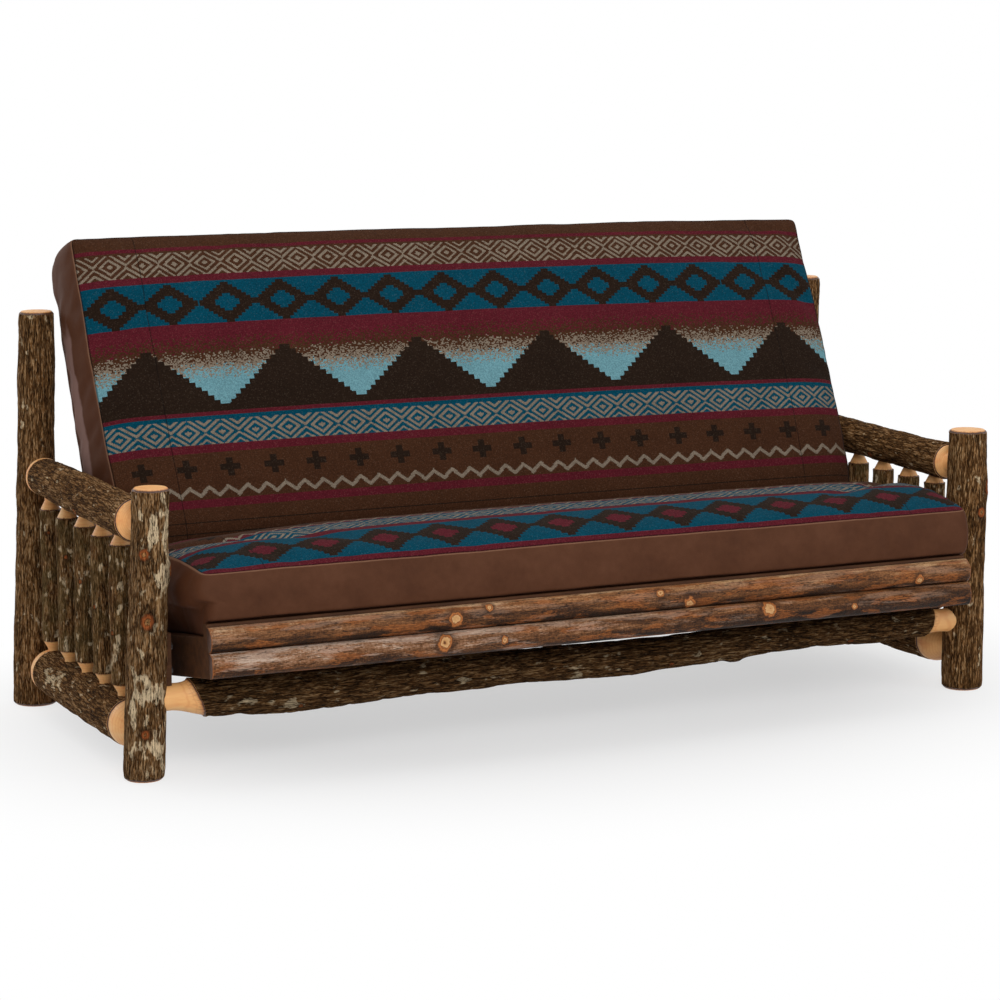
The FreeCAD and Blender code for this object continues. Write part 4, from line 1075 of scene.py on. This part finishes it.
def crumple(piece):
    """Press soft creases into the cover, deepest at the corners of its boxing."""
    mesh = piece.data
    place, normal = read_vectors(mesh.vertices, "co"), read_vectors(mesh.vertex_normals, "vector")
    side = unit((np.abs(place[:, 0]) - SIDE_START) / SIDE_WIDE)
    fold = 1 - np.abs(lattice(place / CREASE_SIZE, 201))
    depth = sum(lattice(place / size, seed) * high for seed, size, high in SOFT_WAVES)
    depth -= side * CREASE_PRESS * unit(fold - 0.55) ** 1.5
    boxing = np.empty(len(place), np.float32)
    mesh.attributes["boxing"].data.foreach_get("value", boxing)
    place += normal * depth[:, None]
    place[:, 0] += folded_end(place, boxing)
    mesh.vertices.foreach_set("co", place.ravel())
    mesh.update()


def mattress():
    points, faces, indices, seam, below, values = mattress_mesh()
    piece = new_mesh("mattress", points, faces, [FABRIC, SUEDE], indices)
    set_values(piece, **values)
    puff_up(piece, unit(below + 0.9 * seam))
    refine(piece, seam)
    crumple(piece)
    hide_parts("seat_cushion", "back_cushion")
    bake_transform(piece)


# CAD nodes that keep their own shape

def dress_cad():
    slots = {"stained_board": BOARD, "dark_steel": STEEL, "nylon": NYLON}
    for part in frame["record"]["subparts"]:
        material = slots.get(part["material_slot"])
        if material:
            mesh = nodes[part["node"]].data
            mesh.materials.clear()
            mesh.materials.append(material)


# Stage

CAMERA_PLACE = (-3.115, -6.5195, 1.668)
CAMERA_YAW = math.radians(25.28)
CAMERA_PITCH = math.radians(-9.36)
CAMERA_LENS = 112.07
SENSOR = 36.0
CLIP_END = 200.0
AIM = (0.0, 0.0, 0.45)
LAMPS = [("Key", (-1.6, -4.8, 3.4), 2.6, 104.0), ("Fill", (3.6, -3.6, 2.4), 3.0, 30.0),
         ("Side", (-2.8, 3.0, 1.7), 1.6, 16.0), ("Top", (0.0, 0.4, 4.0), 3.0, 30.0)]
WHITE, FLOOR_GREY = (1.0, 1.0, 1.0, 1.0), (0.92, 0.92, 0.92, 1.0)
AMBIENT = 0.4
FLOOR_HALF = 60.0
FLOOR_OVAL, FADE_NEAR, FADE_FAR, NEAR_GLOW = (0.75, 1.0, 1.0), 0.5, 1.3, 0.55


def stage():
    scene = bpy.context.scene
    camera = add_object("Camera", bpy.data.cameras.new("Camera"))
    camera.location = CAMERA_PLACE
    camera.rotation_euler = (math.pi / 2 + CAMERA_PITCH, 0.0, -CAMERA_YAW)
    camera.data.lens = CAMERA_LENS
    camera.data.sensor_width = SENSOR
    camera.data.clip_end = CLIP_END
    scene.camera = camera
    scene.view_settings.view_transform = "Standard"
    world()
    floor()
    for name, place, width, power in LAMPS:
        light = bpy.data.lights.new(name, "AREA")
        light.shape = "DISK"
        light.size = width
        light.energy = power
        lamp = add_object(name, light)
        lamp.location = place
        lamp.rotation_euler = (Vector(AIM) - Vector(place)).to_track_quat("-Z", "Y").to_euler()


def world():
    """Light all round softly, and show white to the camera and in reflections."""
    made = bpy.data.worlds.new("World")
    made.use_nodes = True
    bpy.context.scene.world = made
    graph = Graph(made.node_tree)
    background = graph.tree.nodes["Background"]
    background.inputs["Color"].default_value = WHITE
    graph.feed(background.inputs["Strength"], graph.seen() * (1 - AMBIENT) + AMBIENT)


def floor():
    """Lay a pale floor that keeps the shadow near the futon and fades to white further out."""
    mesh = bpy.data.meshes.new("Floor")
    half = FLOOR_HALF
    mesh.from_pydata([(-half, -half, 0), (half, -half, 0), (half, half, 0), (-half, half, 0)], [], [(0, 1, 2, 3)])
    ground = add_object("Floor", mesh)
    paint = Paint("Floor", Base_Color=FLOOR_GREY, Roughness=0.9, Specular_IOR_Level=0.1)
    oval = paint.vector_math("MULTIPLY", paint.place, 1, FLOOR_OVAL)
    distance = paint.vector_math("LENGTH", oval, output="Value")
    far = paint.mask(distance, FADE_NEAR, FADE_FAR) * (1 - NEAR_GLOW) + NEAR_GLOW
    glow = paint.node("Emission", "Emission", Color=WHITE, Strength=1.0)[1]
    blend = paint.tree.nodes.new("ShaderNodeMixShader")
    for slot, value in zip(blend.inputs, (far * paint.seen(), Field(paint, paint.shader.outputs[0]), glow)):
        paint.feed(slot, value)
    paint.tree.links.new(blend.outputs[0], paint.tree.nodes["Material Output"].inputs["Surface"])
    mesh.materials.append(paint.material)


posts()
side_logs()
spindles()
stretchers()
half_logs()
mattress()
dress_cad()
stage()
